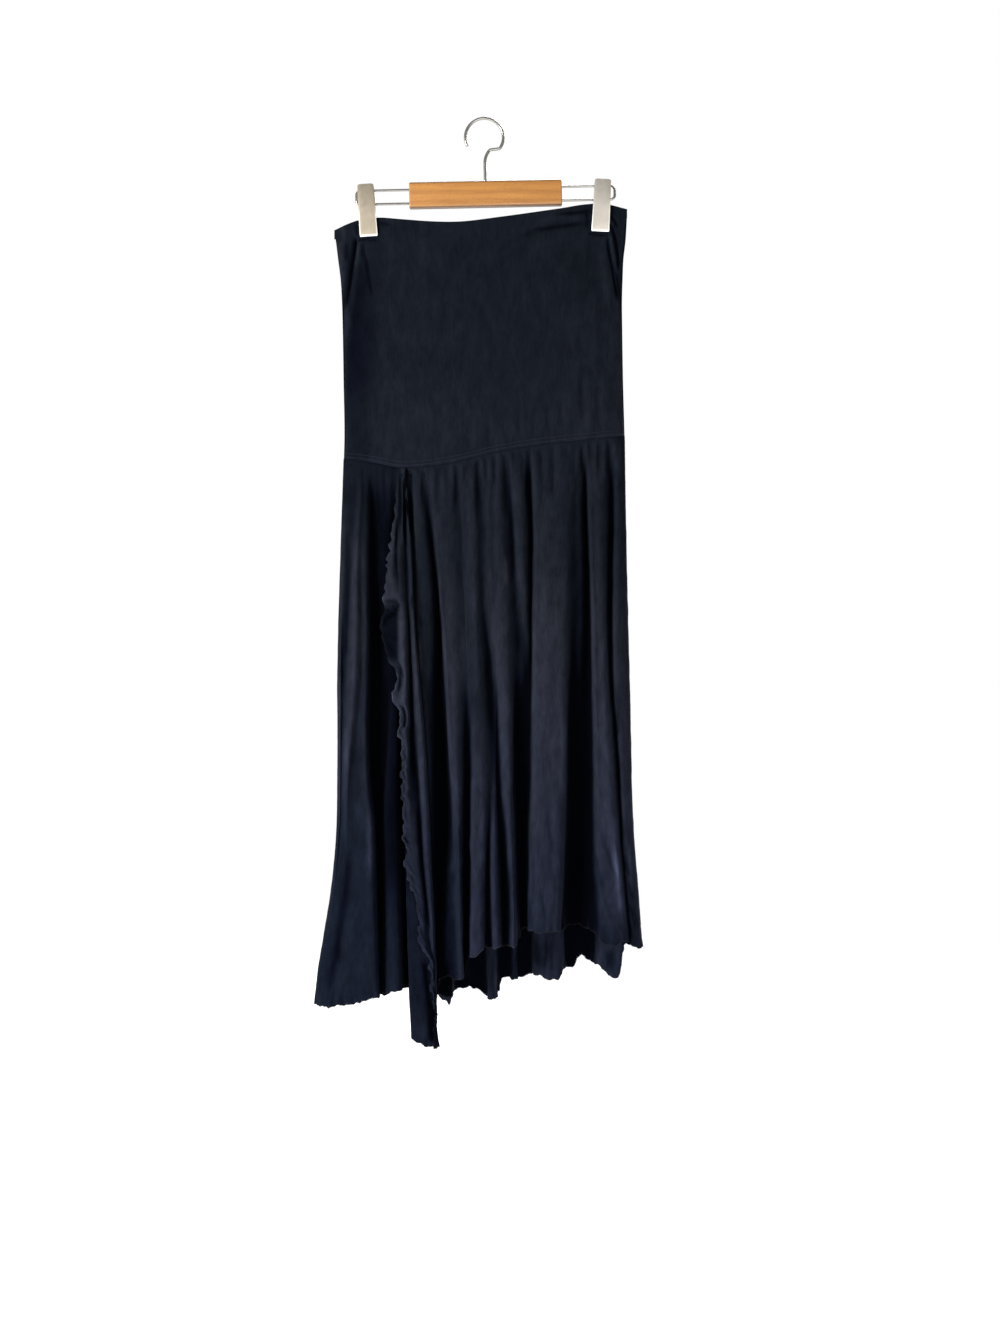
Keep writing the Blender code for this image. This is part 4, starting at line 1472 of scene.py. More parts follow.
@dataclass
class WoodenBar:
    """The varnished beech bar, bored for the two rods."""

    frame: HangerFrame
    size: Triple = (183.0, 13.0, 31.0)
    drop: float = 89.6
    corner: float = 3.2
    end_round: float = 1.6
    bore_heights: tuple[float, float] = (8.2, -8.2)
    bore_radius: float = 1.8

    def section(self, inset: float) -> list[tuple[float, float]]:
        """The bar's section as Y, Z, shrunk by an inset."""
        half_y, half_z = self.size[1] / 2 - inset, self.size[2] / 2 - inset
        r = max(self.corner - inset, 0.6)
        return [
            (sy * (half_y - r) + r * math.cos(a), sz * (half_z - r) + r * math.sin(a))
            for sy, sz, start in ((1, 1, 0), (-1, 1, 90), (-1, -1, 180), (1, -1, 270))
            for a in np.radians(np.linspace(start, start + 90, 9))
        ]

    def build(self, wood: Material) -> Piece:
        """Lofts the bar and drills it."""
        half, r = self.size[0] / 2, self.end_round
        ends = [
            (-half + r * (1 - math.cos(a)), r * (1 - math.sin(a)))
            for a in np.radians(np.linspace(0, 90, 6))
        ]
        mesh = bmesh.new()
        rings = [
            [mesh.verts.new(Vector((x, y, z - self.drop)) * MM) for y, z in self.section(inset)]
            for x, inset in ends + [(-x, inset) for x, inset in ends[::-1]]
        ]
        for one, two in zip(rings, rings[1:]):
            bridge(mesh, two, one)
        mesh.faces.new(rings[0])
        mesh.faces.new(rings[-1][::-1])
        bmesh.ops.recalc_face_normals(mesh, faces=mesh.faces)
        bar = new_piece("beech_bar", mesh, self.frame.hanger(), wood)
        bar.data.set_sharp_from_angle(angle=math.radians(40))
        self.drill(bar)
        take_place(bar, "hanger_bar")
        LOG.info("beech_bar: %d faces", len(bar.data.polygons))
        return bar

    def drill(self, bar: Piece) -> None:
        """Cuts the rods' bores out of the bar."""
        tools = []
        for number, height in enumerate(self.bore_heights):
            z = height - self.frame.rods_drop
            ends = [Vector((x, 0, z)) for x in (-self.size[0], self.size[0])]
            tool = wire(f"bore_{number}", ends, self.bore_radius, self.frame.hanger(),
                        bar.data.materials[0])
            step = bar.modifiers.new(tool.name, "BOOLEAN")
            step.operation = "DIFFERENCE"
            step.solver = "EXACT"
            step.object = tool
            tools.append(tool)
        made_plain(bar)
        for tool in tools:
            bpy.data.objects.remove(tool)


@dataclass
class HangerWires:
    """The chromed hook, and the rods: one wire bent into a long flat loop."""

    frame: HangerFrame
    rod_pitch: float = 16.4
    rod_radius: float = 1.5
    rod_reach: float = 155.0
    rod_corner: float = 5.2
    hook_radius: float = 1.8
    bend: float = 21.0
    foot: float = -78.7

    def rods(self, chrome: Material) -> Piece:
        """Makes the rod loop."""
        high = -self.frame.rods_drop + self.rod_pitch / 2
        low = high - self.rod_pitch
        x, r = self.rod_reach - self.rod_corner, self.rod_corner
        points = []
        for cx, cz, start in ((x, high - r, 90), (x, low + r, 0), (-x, low + r, -90),
                              (-x, high - r, -180)):
            points += arc((cx, cz), r, start, start - 90, 10)
        loop = wire("chrome_rods", points, self.rod_radius, self.frame.hanger(), chrome,
                    closed=True)
        take_place(loop, "hanger_rods")
        LOG.info("chrome_rods: %d faces", len(loop.data.polygons))
        return loop

    def hook(self, chrome: Material) -> Piece:
        """Makes the hook: a stem out of the bar that bends over the rail."""
        reach = self.bend + self.hook_radius
        neck = -self.bend - 32
        stem = [Vector((0, 0, self.foot)), Vector((0, 0, self.foot + 0.6))]
        stem += [Vector((0, 0, z)) for z in np.linspace(self.foot + 8, neck, 4)]
        sweep = arc((reach, neck + 1), reach, 180, 117, 14)[1:]
        bend = arc((0, -self.bend), reach, -38, 205, 60)
        joined = stem + [p for p in sweep if p.z < bend[0].z - 1] + bend
        joined.append(joined[-1] + (joined[-1] - joined[-2]).normalized() * 0.6)
        made = wire("chrome_hook", joined, self.hook_radius, self.frame.hanger(), chrome)
        take_place(made, "hanger_hook")
        LOG.info("chrome_hook: %d faces", len(made.data.polygons))
        return made


@dataclass
class SpringClip:
    """A sprung clip: two bent plates that turn on the lower rod, and the coil around it."""

    name: str
    x: float
    lean: float
    frame: HangerFrame
    top_width: float = 19.4
    bottom_width: float = 21.6
    sheet: float = 1.2
    top: float = 15.6
    bottom: float = -46.9
    lip_stand: float = 2.8
    bow: float = 3.4
    crown: float = 0.35
    tab_reach: float = 8.2
    tab_step: float = 1.6
    rod_pitch: float = 16.4
    hole: float = 2.3
    coil: float = 3.0
    coil_wire: float = 0.5
    coil_turns: int = 4

    def profile(self, z: Array) -> Array:
        """How far the plate's middle stands from the mid-plane at height z."""
        heights = (self.bottom, self.bottom + 1.2, self.bottom + 3, -26, -12, 8, self.top)
        out = np.array((-0.3, -0.1, 0.2, 2.2, self.bow, self.bow, self.bow - 0.5))
        return self.lip_stand + through(z, heights, tuple(out))

    def plate(self, side: Side) -> Mesh:
        """The bent plate of one jaw, with rounded corners and softened edges."""
        rows, columns = 44, 14
        z = np.linspace(self.bottom, self.top, rows)
        half = np.interp(z, (self.bottom, self.top), (self.bottom_width, self.top_width)) / 2
        for end, corner in ((self.bottom, 0.9), (self.top, 2.0)):
            near = np.clip(corner - np.abs(z - end), 0, corner)
            half -= corner - np.sqrt(np.maximum(corner**2 - near**2, 0))
        mesh = bmesh.new()
        grid = [
            [
                mesh.verts.new(
                    Vector((u * reach, side.value * (out - self.crown * abs(u) ** 4), height)) * MM
                )
                for u in np.linspace(-1, 1, columns)
            ]
            for height, reach, out in zip(z, half, self.profile(z))
        ]
        for one, two in zip(grid, grid[1:]):
            pair = (one, two) if side is Side.FRONT else (two, one)
            bridge(mesh, *pair, closed=False)
        bmesh.ops.recalc_face_normals(mesh, faces=mesh.faces)
        bmesh.ops.solidify(mesh, geom=mesh.faces, thickness=self.sheet * MM)
        return mesh

    def tab(self, mesh: Mesh, side: Side, end: int, rod: float, low: float,
            high: float) -> None:
        """Adds half a tab: a plate across the rod with a round hole.

        Args:
            mesh: where it goes.
            side: front or back jaw.
            end: -1 for the left tab, 1 for the right one.
            rod: the rod's height.
            low: the tab's lower edge.
            high: its upper edge.
        """
        reach = self.tab_reach - (0 if side is Side.FRONT else self.tab_step)
        count = 24
        near, far = self.lip_stand + self.bow - 0.3, -3.6
        outer, inner = [], []
        for k in range(count):
            a = 2 * math.pi * (k + 0.5) / count
            dy, dz = math.cos(a), math.sin(a)
            room_y = (near if dy > 0 else far) / dy
            room_z = ((high if dz > 0 else low) - rod) / dz
            length = min(room_y, room_z)
            corner = 0.93 if abs(room_y - room_z) < 1.6 and dy < 0 else 1.0
            outer.append((length * dy * corner, length * dz * corner))
            inner.append((self.hole * dy, self.hole * dz))
        rings = [
            [mesh.verts.new(Vector((x, side.value * y, rod + z)) * MM) for y, z in loop]
            for x in (end * reach - self.sheet / 2, end * reach + self.sheet / 2)
            for loop in (outer, inner)
        ]
        for one, two in ((0, 1), (2, 3), (0, 2), (1, 3)):
            bridge(mesh, rings[one], rings[two])

    def jaw(self, side: Side, chrome: Material) -> Piece:
        """Makes a jaw with its tabs; the front one rides on both rods."""
        mesh = self.plate(side)
        half = self.rod_pitch / 2
        for end in (-1, 1):
            self.tab(mesh, side, end, -half, -half - 4, 0 if side is Side.FRONT else -4.2)
            if side is Side.FRONT:
                self.tab(mesh, side, end, half, 0, half + 4)
        bmesh.ops.recalc_face_normals(mesh, faces=mesh.faces)
        word = side.name.lower()
        piece = new_piece(
            f"chrome_{self.name}_{word}_jaw", mesh, self.frame.clip(self.x, self.lean), chrome
        )
        piece.data.set_sharp_from_angle(angle=math.radians(35))
        soft = piece.modifiers.new("softened_edges", "BEVEL")
        soft.width = 0.22 * MM
        soft.segments = 2
        soft.limit_method = "ANGLE"
        soft.angle_limit = math.radians(50)
        made_plain(piece)
        # Painted highlight on the jaw's lower and side edges.
        set_painted_light(piece, self.edge_highlight(piece))
        take_place(piece, f"{self.name}_{word}_jaw")
        return piece

    def edge_highlight(self, piece: Piece) -> Array:
        """1 along the plate's lower and side edges, where a highlight is painted."""
        back = self.frame.clip(self.x, self.lean).inverted()
        spots = np.array([back @ vertex.co for vertex in piece.data.vertices]) / MM
        ends = (self.bottom, self.top)
        half = np.interp(spots[:, 2], ends, (self.bottom_width, self.top_width)) / 2
        side = ease(np.abs(spots[:, 0]) - half, -1.3, -0.3) * ease(-spots[:, 2], 8, 26)
        low = 1 - ease(spots[:, 2], self.bottom + 1.2, self.bottom + 2.4)
        return np.maximum(0.8 * side, low)

    def spring(self, chrome: Material) -> Piece:
        """Makes the coil, whose two legs press the jaws shut."""
        length = 2 * (self.tab_reach - self.tab_step) - 4
        axis = -self.rod_pitch / 2
        points = [Vector((-length / 2 - 0.4, -self.lip_stand - 1.2, -19.0))]
        for t in np.linspace(0, self.coil_turns, self.coil_turns * 20 + 1):
            a = 2 * math.pi * t
            points.append(Vector((
                -length / 2 + length * t / self.coil_turns,
                -self.coil * math.cos(a),
                axis - self.coil * math.sin(a),
            )))
        points.append(Vector((length / 2 + 0.4, self.lip_stand + 1.2, -19.0)))
        made = wire(f"chrome_{self.name}_spring", points, self.coil_wire,
                    self.frame.clip(self.x, self.lean), chrome, sides=10)
        take_place(made, f"{self.name}_spring")
        return made

    def build(self, chrome: Material) -> None:
        """Makes both jaws and the spring."""
        for side in Side:
            piece = self.jaw(side, chrome)
            LOG.info("%s: %d faces", piece.name, len(piece.data.polygons))
        self.spring(chrome)


# ---------------- the skirt's panels
# The wrap's ruffled left part, from its free edge to the first fold.
WRAP_CASCADE = fold_run(
    (-432, -474, -516, -566, -584, -640, -696, -768, -840, -900, -948, -1030, -1104),
    ((-101.5, -108.5, -112, -114.5, -115.5, -113.5, -105, -94.5, -92.5, -90, -78, -58.5, -53),
     (0, 0, -1, 0, 2, 6, 2, 0, 0, 1, 1, 6, 12), -1104),
    ((-100.5, -105, -108, -109.5, -111, -107.5, -100.5, -93.5, -91, -87, -75.5, -57, -53),
     (0, -2, -4, -4, 1, 6, 1, -1, -1, -1, -1, 3, 8), -1105),
    ((-99.5, -100.5, -99.5, -100.5, -101.5, -99.5, -96.5, -92, -88.5, -83.5, -73.5, -56.5, -54),
     (2, 2, 0, -2, 2, 3, 0, -1, -1, -1, -1, 2, 7), -1106),
    ((-98, -97, -95.5, -94.5, -94.5, -93.5, -92, -89.5, -85.5, -79, -71.5, -56, -54.5),
     (0, 0, 2, 4, 0, -1, -1, -1, -1, -1, 0, 2, 7), -1106),
    ((-97, -94.5, -92.5, -90, -89, -87.5, -86, -86.5, -81, -75, -69, -56, -55),
     (3, 5, 6, 7, 7, 9, 11, 9, 2, 0, 4, 7, 8), -1106),
    ((-96, -92, -89, -86.5, -86, -83.5, -81, -78.5, -75, -71, -65.5, -56.5, -55),
     (1, 1, 1, 0, 0, 1, 3, 8, 8, 7, 7, 6, 8), -1106),
    ((-93.5, -90.5, -88, -86, -85.5, -82.5, -78.5, -74.5, -71.5, -66.5, -62.5, -56, -55),
     (0, 0, 0, 0, 0, 0, 0, 0, 0, 1, 2, 6, 8), -1106),
    ((-92, -89, -86.5, -85, -84, -80.5, -75.5, -69.5, -66, -63, -60, -55.5, -54.5),
     (0, 0, 0, -1, -1, -1, -1, 0, 1, 2, 3, 7, 9), -1105),
    ((-91, -88, -86, -84, -83, -79.5, -73.5, -67.5, -64, -61, -58.5, -55.5, -54.5),
     (3, 5, 6, 6, 6, 6, 8, 9, 10, 11, 12, 12, 13), -1105),
    ((-92, -89, -86.5, -84.5, -84, -83, -79, -75.5, -73, -70.5, -67, -63.5, -62.5),
     (4, 7, 8, 9, 9, 11, 14, 15, 14, 13, 13, 13, 13), -1106),
    ((-92.5, -91.5, -90, -88.5, -88, -90, -87.5, -86.5, -85, -83.5, -81, -78, -74),
     (4, 8, 9, 11, 11, 13, 16, 17, 15, 13, 13, 12, 12), -1104),
    ((-93, -92.5, -92, -91.5, -91.5, -95, -93.5, -92, -91.5, -92, -90.5, -87.5, -84.5),
     (4.5, 8.5, 10, 12, 12, 14, 18, 19, 17, 15, 14, 13, 13), -1096),
    ((-93, -92.5, -92, -91.5, -91.5, -95, -94, -92, -92, -92, -91, -88, -85),
     (5.5, 10, 12, 14, 14, 18, 22, 23, 22, 20, 19, 18, 18), -1092),
    ((-90, -89, -88, -85.5, -85.5, -88, -84.5, -82, -82, -82, -80.5, -78, -74.5),
     (5, 10, 12, 14, 14, 18, 24, 26, 26, 25, 24, 24, 24), -1084),
    ((-87, -84.5, -82.5, -80, -80, -79.5, -76, -72.5, -69, -66.5, -65, -64, -60.5),
     (3, 6, 8, 9, 9, 12, 18, 26, 29, 30, 29, 28, 28), -1072),
)
# The wrap's folds from there to the right side seam.
WRAP_BODY = fold_run(
    (-432, -474, -516, -576, -636, -696, -768, -840, -900, -948),
    ((-82.5, -81, -80, -79, -76, -71, -65.5, -63, -60.5, -59), (1, 3, 5, 7, 9, 12, 17, 27, 29, 29)),
    ((-75.5, -71.5, -68.5, -62.5, -62.5, -61.5, -61, -58, -58, -57), (2, 5, 7, 9, 12, 16, 25, 29, 30, 30)),
    ((-72, -67, -63.5, -57, -57, -57, -56, -53.5, -53.5, -53.5), (4, 9, 12, 14, 18, 25, 28, 30, 31, 31)),
    ((-69, -64, -60.5, -53.5, -51, -48.5, -45, -42.5, -47.5, -50), (2, 8, 14, 23, 26, 28, 30, 30, 28, 27)),
    ((-65, -59, -56, -50.5, -47, -43, -39.5, -36, -40.5, -43), (0, 0, 0, 0, 0, 1, 1, 10, 13, 14)),
    ((-59, -53, -50.5, -47, -42, -39, -35.5, -32.5, -32, -32.5), (-1, -1, -1, 0, 0, 0, -1, 2, 7.5, 9)),
    ((-46, -41, -38.5, -36.5, -34.5, -33, -29.5, -28.5, -28.5, -27), (0, 0, 0, 1, 1, 2, 0, 0, 1, 1)),
    ((-33, -28, -27, -24.5, -22, -20.5, -21, -23, -25, -25), (3, 3, 4, 4, 5, 7, 14, 19, 20, 20)),
    ((-29.5, -25.5, -25.5, -22.5, -19.5, -18, -17, -17.5, -18, -18.5), (2, 2, 3, 3, 4, 6, 15, 20, 20, 19)),
    ((-23.5, -19.5, -21, -17.5, -15, -13, -12.5, -13, -13.5, -14), (0, 0, 0, 1, 2, 2, 2, 0, 1, 1)),
    ((-17.5, -15, -16, -11.5, -9, -8, -10, -9, -9, -9), -1),
    ((-11.5, -9, -9, -8, -5.5, -3, -2, -0.5, -3, -2), 0),
    ((-6.5, -3.5, -2.5, -2, 3, 5, 7.5, 6, 4.5, 4), (4, 4, 4, 5, 8, 9, 6, 7, 12, 15)),
    ((-3, 0, 1, 1.5, 6.5, 11, 11, 9, 7.5, 7.5), (4, 3, 3, 3, 8, 9, 8, 5, 7, 10)),
    ((1.5, 5, 6, 6.5, 9.5, 13.5, 14, 12.5, 12, 13.5), (0, 0, 0, 1, 5, 8, 9, 3, 0, 0)),
    ((5, 8.5, 10, 10, 11.5, 16, 17, 19.5, 23.5, 24), (0, 0, 0, 0, 2, 7, 11, 12, 15, 14)),
    ((8.5, 11, 12.5, 13.5, 15.5, 19, 21, 24.5, 29, 30), (0, 0, 0, 0, 0, 1, 4, 5, 8, 9)),
    ((13.5, 14.5, 16, 19.5, 20.5, 24, 25.5, 29, 32.5, 34), -1),
    ((18, 20.5, 23, 27.5, 29, 31, 32, 33.5, 36, 37), (0, 0, 0, 1, 1, 0, 0, 1, 1, 1)),
    ((30, 32.5, 34.5, 36.5, 39, 38, 36, 38.5, 39.5, 42), (7, 8, 8, 8, 9, 10, 19, 24, 25, 24)),
    ((32.5, 36, 39, 42.5, 45.5, 45.5, 42, 42, 43, 45), (3, 3, 3, 6, 10.5, 11.5, 16, 24, 25, 25)),
    ((39.5, 42.5, 45, 47.5, 51, 51.5, 50.5, 47.5, 46, 47), (0, 0, 0, 4, 10.5, 11.5, 16, 22, 25, 25)),
    ((46, 50.5, 51.5, 52.5, 54.5, 54, 54, 50.5, 49, 48.5), (3, 4, 4, 8, 10.5, 11.5, 16, 20, 24, 24)),
    ((54, 56, 57, 56.5, 57, 56, 56, 53, 51.5, 51), (12, 17, 19, 18, 12, 9, 10, 12, 16, 18)),
    ((58, 60, 60.5, 59, 59, 59, 59, 57, 55.5, 53.5), (1, 0, 0, 0, 0, 0, 0, 1, 2, 3)),
    ((63.5, 65.5, 65.5, 65.5, 65.5, 65.5, 65.5, 65.5, 64, 63), -2),
    ((83.5, 82, 81, 80, 79.5, 79.5, 78.5, 77, 77, 76), (-2, -3, -3, -3, -3, -3, -3, -3, -3, -3)),
    ((105, 99, 98, 96, 95, 94.5, 93.5, 93, 92, 89), -1),
    ((112, 106, 107.5, 107.5, 104.5, 103, 101.5, 100, 96.5, 95.5),
     (3, 4, 7, 8.5, 10, 12.5, 15.5, 19, 22, 22)),
    ((116.5, 114.5, 116.5, 117.5, 115.5, 114.5, 112, 111, 110, 110),
     (8, 6, 9, 10.5, 11.5, 14, 19, 25, 28, 28)),
    ((121, 122, 123.5, 125.5, 126, 126, 126, 125, 127.5, 128.5), (15, 18, 19, 17, 17, 17, 19, 19, 17, 14)),
    ((125, 125.5, 126.5, 129, 130, 131, 133, 134, 136, 138), (1, 0, 0, 0, 0, 0, 1, 2, 3, 3)),
    ((130, 131, 131, 133, 135.5, 136.5, 138.5, 142, 144.5, 145.5), 0),
    ((138, 139, 139, 141.5, 143, 144.5, 149, 153.5, 159.5, 164), (0, 0, 0, 0, -1, -1, -2, -2, -3, -3)),
    ((146, 146, 145.5, 145, 146, 149, 153, 158, 163, 167.5), (3, 4, 4, 4, 4, 4, 3, 2, 1, 1)),
    ((152.5, 152.5, 150.5, 150.5, 151, 153, 160.5, 163, 166.5, 171.5),
     (10, 12, 14, 14, 13, 10, 9, 10, 8, 8)),
    ((158.5, 159, 157.5, 157, 156, 157, 163.5, 165, 169, 174), (1, 1, 1, 1, 1, 2, 2, 2, 2, 2)),
)
WRAP_GATHERS = gather_rows(
    (-98, 95, 2.2), (-92, 85, 2.4), (-86, 90, 2.2), (-72, 70, 2.6), (-66, 60, 1.6), (-54, 75, 2.4),
    (-43, 50, 1.2), (-32, 90, 2.6), (-20, 55, 1.4), (-7, 100, 3.0), (2.5, 80, 2.4), (12, 70, 2.2),
    (25.5, 85, 2.6), (36, 60, 1.8), (44.5, 75, 2.2), (53, 90, 2.4), (67, 60, 1.8), (81.5, 75, 2.2),
    (96, 50, 1.3), (108, 60, 1.4), (116.5, 50, 1.6), (127.5, 60, 1.8), (138, 70, 2.0), (149.5, 75, 2.2),
    (160, 50, 1.2),
)
WRAP_CREASES = crease_lines(
    ((-46, -905, -22, -880, -8, -850), 1.2, 5), ((150, -900, 165, -965), 1.4, 4),
    ((67, -914, 70, -966), -1.0, 4), ((-32, -905, -30, -950, -27, -985), 1.6, 4.5),
    ((26, -560, 30, -640, 37, -720), -1.0, 6), ((75, -520, 72, -640, 66, -760), 0.8, 7),
    ((-22, -600, -19, -700), 0.9, 5), ((-97, -435, -95, -475, -93, -517), -2.2, 1.8),
    ((-90, -435, -87.5, -470, -85, -506), -2.0, 1.8), ((108, -830, 104, -900, 112, -960), -1.2, 3.5),
    ((72, -800, 80, -860, 78, -930), -0.9, 3.5), ((88, -700, 84, -800, 88, -900), 0.8, 4.5),
)
# Sharp folds on the wrap: slight troughs with painted shade along them; negative heights are painted
# highlights.
WRAP_PINCHES = crease_lines(
    ((-118, -577, -101.5, -577), 0.92, 1.8, 0.1),
    ((-101.5, -577, -102, -587, -105, -592, -111, -596, -117, -600, -118.5, -611), 0.97, 2.6, 0.15),
    ((-102.5, -465, -104, -501, -104, -532, -102, -560, -100.5, -577), 0.95, 2),
    ((-113.5, -578, -111, -585), 0.7, 1.4, 0.2), ((-107, -579, -108.5, -589), 0.8, 1.5, 0.2),
    ((-116, -587, -112, -592), 0.7, 1.4, 0.2),
    ((-100.5, -649, -98.5, -661, -99.5, -677, -102, -690), 0.95, 2, 0.2),
    ((-98, -699, -94.5, -708, -93, -720, -96, -732), 0.95, 2, 0.2),
    ((-95, -855, -90, -863, -86.5, -867), 0.95, 2.2, 0.2),
    ((-77.5, -801, -77, -844, -75.5, -863, -74.5, -879, -73, -897, -71, -915, -69, -933, -68, -955, -67,
     -981, -65.5, -1004), 0.8, 2.2),
    ((-87, -918, -81.5, -929, -79, -945, -77.5, -962), 0.6, 2),
    ((-72, -999, -69, -1025, -66, -1048, -64, -1066, -63, -1084, -63, -1103), 0.97, 4, 0.12),
    ((65, -907, 68.5, -931, 74.5, -960), 0.42, 1.8), ((57, -866, 59, -907, 57, -949), 0.3, 2.2),
    ((80.5, -884, 84, -919, 81.5, -955), 0.3, 2.2), ((139.5, -849, 149, -886, 159.5, -919), 0.36, 2),
    ((136, -896, 143, -931, 152.5, -961), 0.36, 2), ((146, -866, 154, -896, 161, -915), 0.3, 1.8),
    ((131.5, -872, 137, -902, 146, -925), 0.28, 2), ((165.5, -882, 170.5, -898, 175, -908), 0.5, 1.8),
    ((170.5, -908, 175, -926, 181, -935), 0.55, 1.8), ((171.5, -935, 176, -949, 179.5, -969), 0.6, 1.8),
    ((176, -937, 181, -953, 182, -973), 0.5, 1.6), ((172.5, -957, 175, -972, 175, -982), 0.5, 1.8),
    ((-65.5, -1048, -63, -1063, -62, -1079, -61.5, -1103), 0.9, 4.2, 0.12),
    ((-60.5, -1052, -58, -1072, -57.5, -1103), 0.55, 2.6, 0.12),
    ((-10.5, -565, -9, -636, -9, -695, -8, -749), 0.4, 9),
    ((-99, -749, -98.5, -802, -96.5, -851), 0.6, 2.4), ((129.5, -890, 130.5, -932, 134, -984), 0.7, 6),
    ((22.5, -802, 25.5, -897, 26.5, -972), 0.6, 3), ((31, -875, 31, -980), 0.35, 4),
    ((54.5, -924, 54.5, -970), 0.45, 3), ((-1, -814, -1, -856, -1, -899), -0.6, 3),
    ((94, -695, 94, -755, 92.5, -826), -0.7, 3.4), ((-76.5, -615, -75, -667), -0.6, 2.4),
    ((157.5, -383, 160, -428), -0.45, 4), ((-76.5, -957, -75, -993), 0.4, 3),
    ((141, -958, 143.5, -989), 0.45, 6), ((159, -672, 160, -745), 0.5, 2.4),
    ((149.5, -814, 155.5, -873, 159, -939), -0.55, 4.5),
    ((153, -859, 156.5, -885, 160, -918, 165, -963), -1.5, 2.6), ((173, -864, 175, -930), -1, 2),
    ((125.5, -749, 126.5, -814, 127.5, -892), 0.5, 3), ((43.5, -620, 44, -710), -0.5, 5, 0.4),
    ((25.5, -518, 28.5, -568), -0.6, 3),
)
# Short upright pleats just below the seam: slight troughs with painted shade along them.
WRAP_PLEATS = tuple(
    Crease((x, start, x, stop), share, width)
    for x, start, stop, share, width in (
        (-55.5, -415, -449, 0.2, 1.3), (-46, -416, -459, 0.22, 1.3), (-33, -414, -473, 0.25, 1.4),
        (-23.5, -413, -442, 0.22, 1.2), (-15, -411, -437, 0.22, 1.2), (2.5, -408, -449, 0.2, 1.4),
        (12.5, -404, -443, 0.38, 1.7), (27.5, -407, -482, 0.3, 2.2), (39.5, -403, -433, 0.25, 1.4),
        (53.5, -398, -440, 0.35, 2), (67, -396, -473, 0.42, 1.7), (80.5, -402, -461, 0.3, 1.6),
        (103, -398, -435, 0.15, 1.3), (117, -391, -428, 0.45, 1.8), (136.5, -385, -430, 0.2, 1.2),
        (148, -387, -428, 0.35, 1.8),
    )
)
WRAP_HEM_X = (
    -61, -57.5, -56, -54, -48, -42, -34, -25.5, -22.5, -20.5, -17.5, -9, -4.5, -1, 10, 21.5, 37, 41, 45, 48,
    61.5, 76, 93.5, 100.5, 111, 123, 132.5, 138.5, 142, 155.5, 162.5, 171, 177, 186,
)
WRAP_HEM_Z = (
    -1084, -1063, -1037, -1028, -1025, -1022, -1025, -1025, -1021, -1002, -997, -998, -993, -987, -988,
    -986, -986, -979, -968, -965, -969, -968, -968, -964, -962, -966, -972, -981, -984, -987, -981, -981,
    -988, -991,
)


def wrap_front(outline: Outline) -> WrapFront:
    """The wrap: the cascade, then the folds from left to right."""
    return WrapFront(
        "wrap_front", Side.FRONT, outline, (0.44, 0.7), columns=262, rows=186, seed=4,
        runs=(WRAP_CASCADE, WRAP_BODY), hem_x=WRAP_HEM_X, hem_z=WRAP_HEM_Z,
        gathers=WRAP_GATHERS, creases=WRAP_CREASES, pinches=WRAP_PINCHES + WRAP_PLEATS,
        seam_on_left=False,
    )


# The under front's folds, from the left side seam to behind the wrap.
UNDER_FOLDS = fold_run(
    (-432, -516, -576, -636, -696, -768, -840, -900, -948, -1030),
    ((-153, -157.5, -162.5, -165.5, -168.5, -169.5, -171.5, -174, -181, -189),
     (4, 6, 6, 7, 6, 4, 2, 1, 0, 0)),
    ((-146, -152, -153, -153.5, -155.5, -162.5, -163.5, -166, -171.5, -181),
     (1, -1, -2, -3, -3, -3, -1, 0, 0, 0)),
    ((-142.5, -146.5, -146.5, -145.5, -147, -156.5, -156.5, -155.5, -158.5, -166),
     (2, 3, 4, 5, 5, 5, 3, 2, 1, 1)),
    ((-138.5, -138.5, -139.5, -138, -139.5, -141, -133, -131.5, -130, -128),
     (5, 7, 7, 7, 7, 5, 3, 1, 0, -1)),
    ((-134.5, -135.5, -136, -134, -135, -136.5, -130.5, -128, -126, -124.5),
     (8, 19, 22, 25, 26, 26, 26, 25, 24, 22)),
    ((-128.5, -120.5, -123, -117, -114.5, -119.5, -121.5, -120.5, -120, -120),
     (8, 17, 24, 26, 28, 28, 27, 25, 23, 21)),
    ((-120, -117, -115, -112.5, -110, -114, -116, -114.5, -113, -113),
     (6, 16, 24, 26, 27, 16, 14.5, 12, 8, 6)),
    ((-111.5, -112, -109, -107.5, -105, -104.5, -103, -102, -101, -99),
     (6, 17, 25, 27, 27, 17, 15, 12.5, 8, 7)),
    ((-106, -104, -102, -100.5, -98, -99.5, -98.5, -97.5, -96.5, -95),
     (8, 20, 27, 29, 30, 28, 28, 27, 26, 26)),
    ((-88, -87, -86, -84, -81.5, -80, -79, -77.5, -77.5, -77.5), (9, 20, 28, 31, 33, 34, 34, 34, 33, 33)),
    ((-63, -62, -61, -60, -58.5, -58.5, -58.5, -58.5, -58.5, -58.5),
     (9, 20, 28, 32, 34, 35, 35, 35, 35, 35)),
    ((-44, -43, -42, -39.5, -38.5, -38.5, -38, -38, -38, -38), (9, 20, 28, 32, 34, 35, 36, 36, 36, 36)),
)
UNDER_GATHERS = gather_rows(
    (-152, 60, 0.8, 3.0), (-143, 70, 1.0, 3.0), (-133, 80, 1.2, 3.0), (-126, 70, 1.0, 3.0),
    (-118, 80, 1.2, 3.0),
)
UNDER_CREASES = crease_lines(
    ((-158, -860, -166, -930, -177, -1000, -188, -1055), -5.0, 7, 0.2),
    ((-150, -930, -160, -1000, -170, -1045), 1.4, 7), ((-168, -480, -170, -560, -171, -640), -0.8, 4),
)
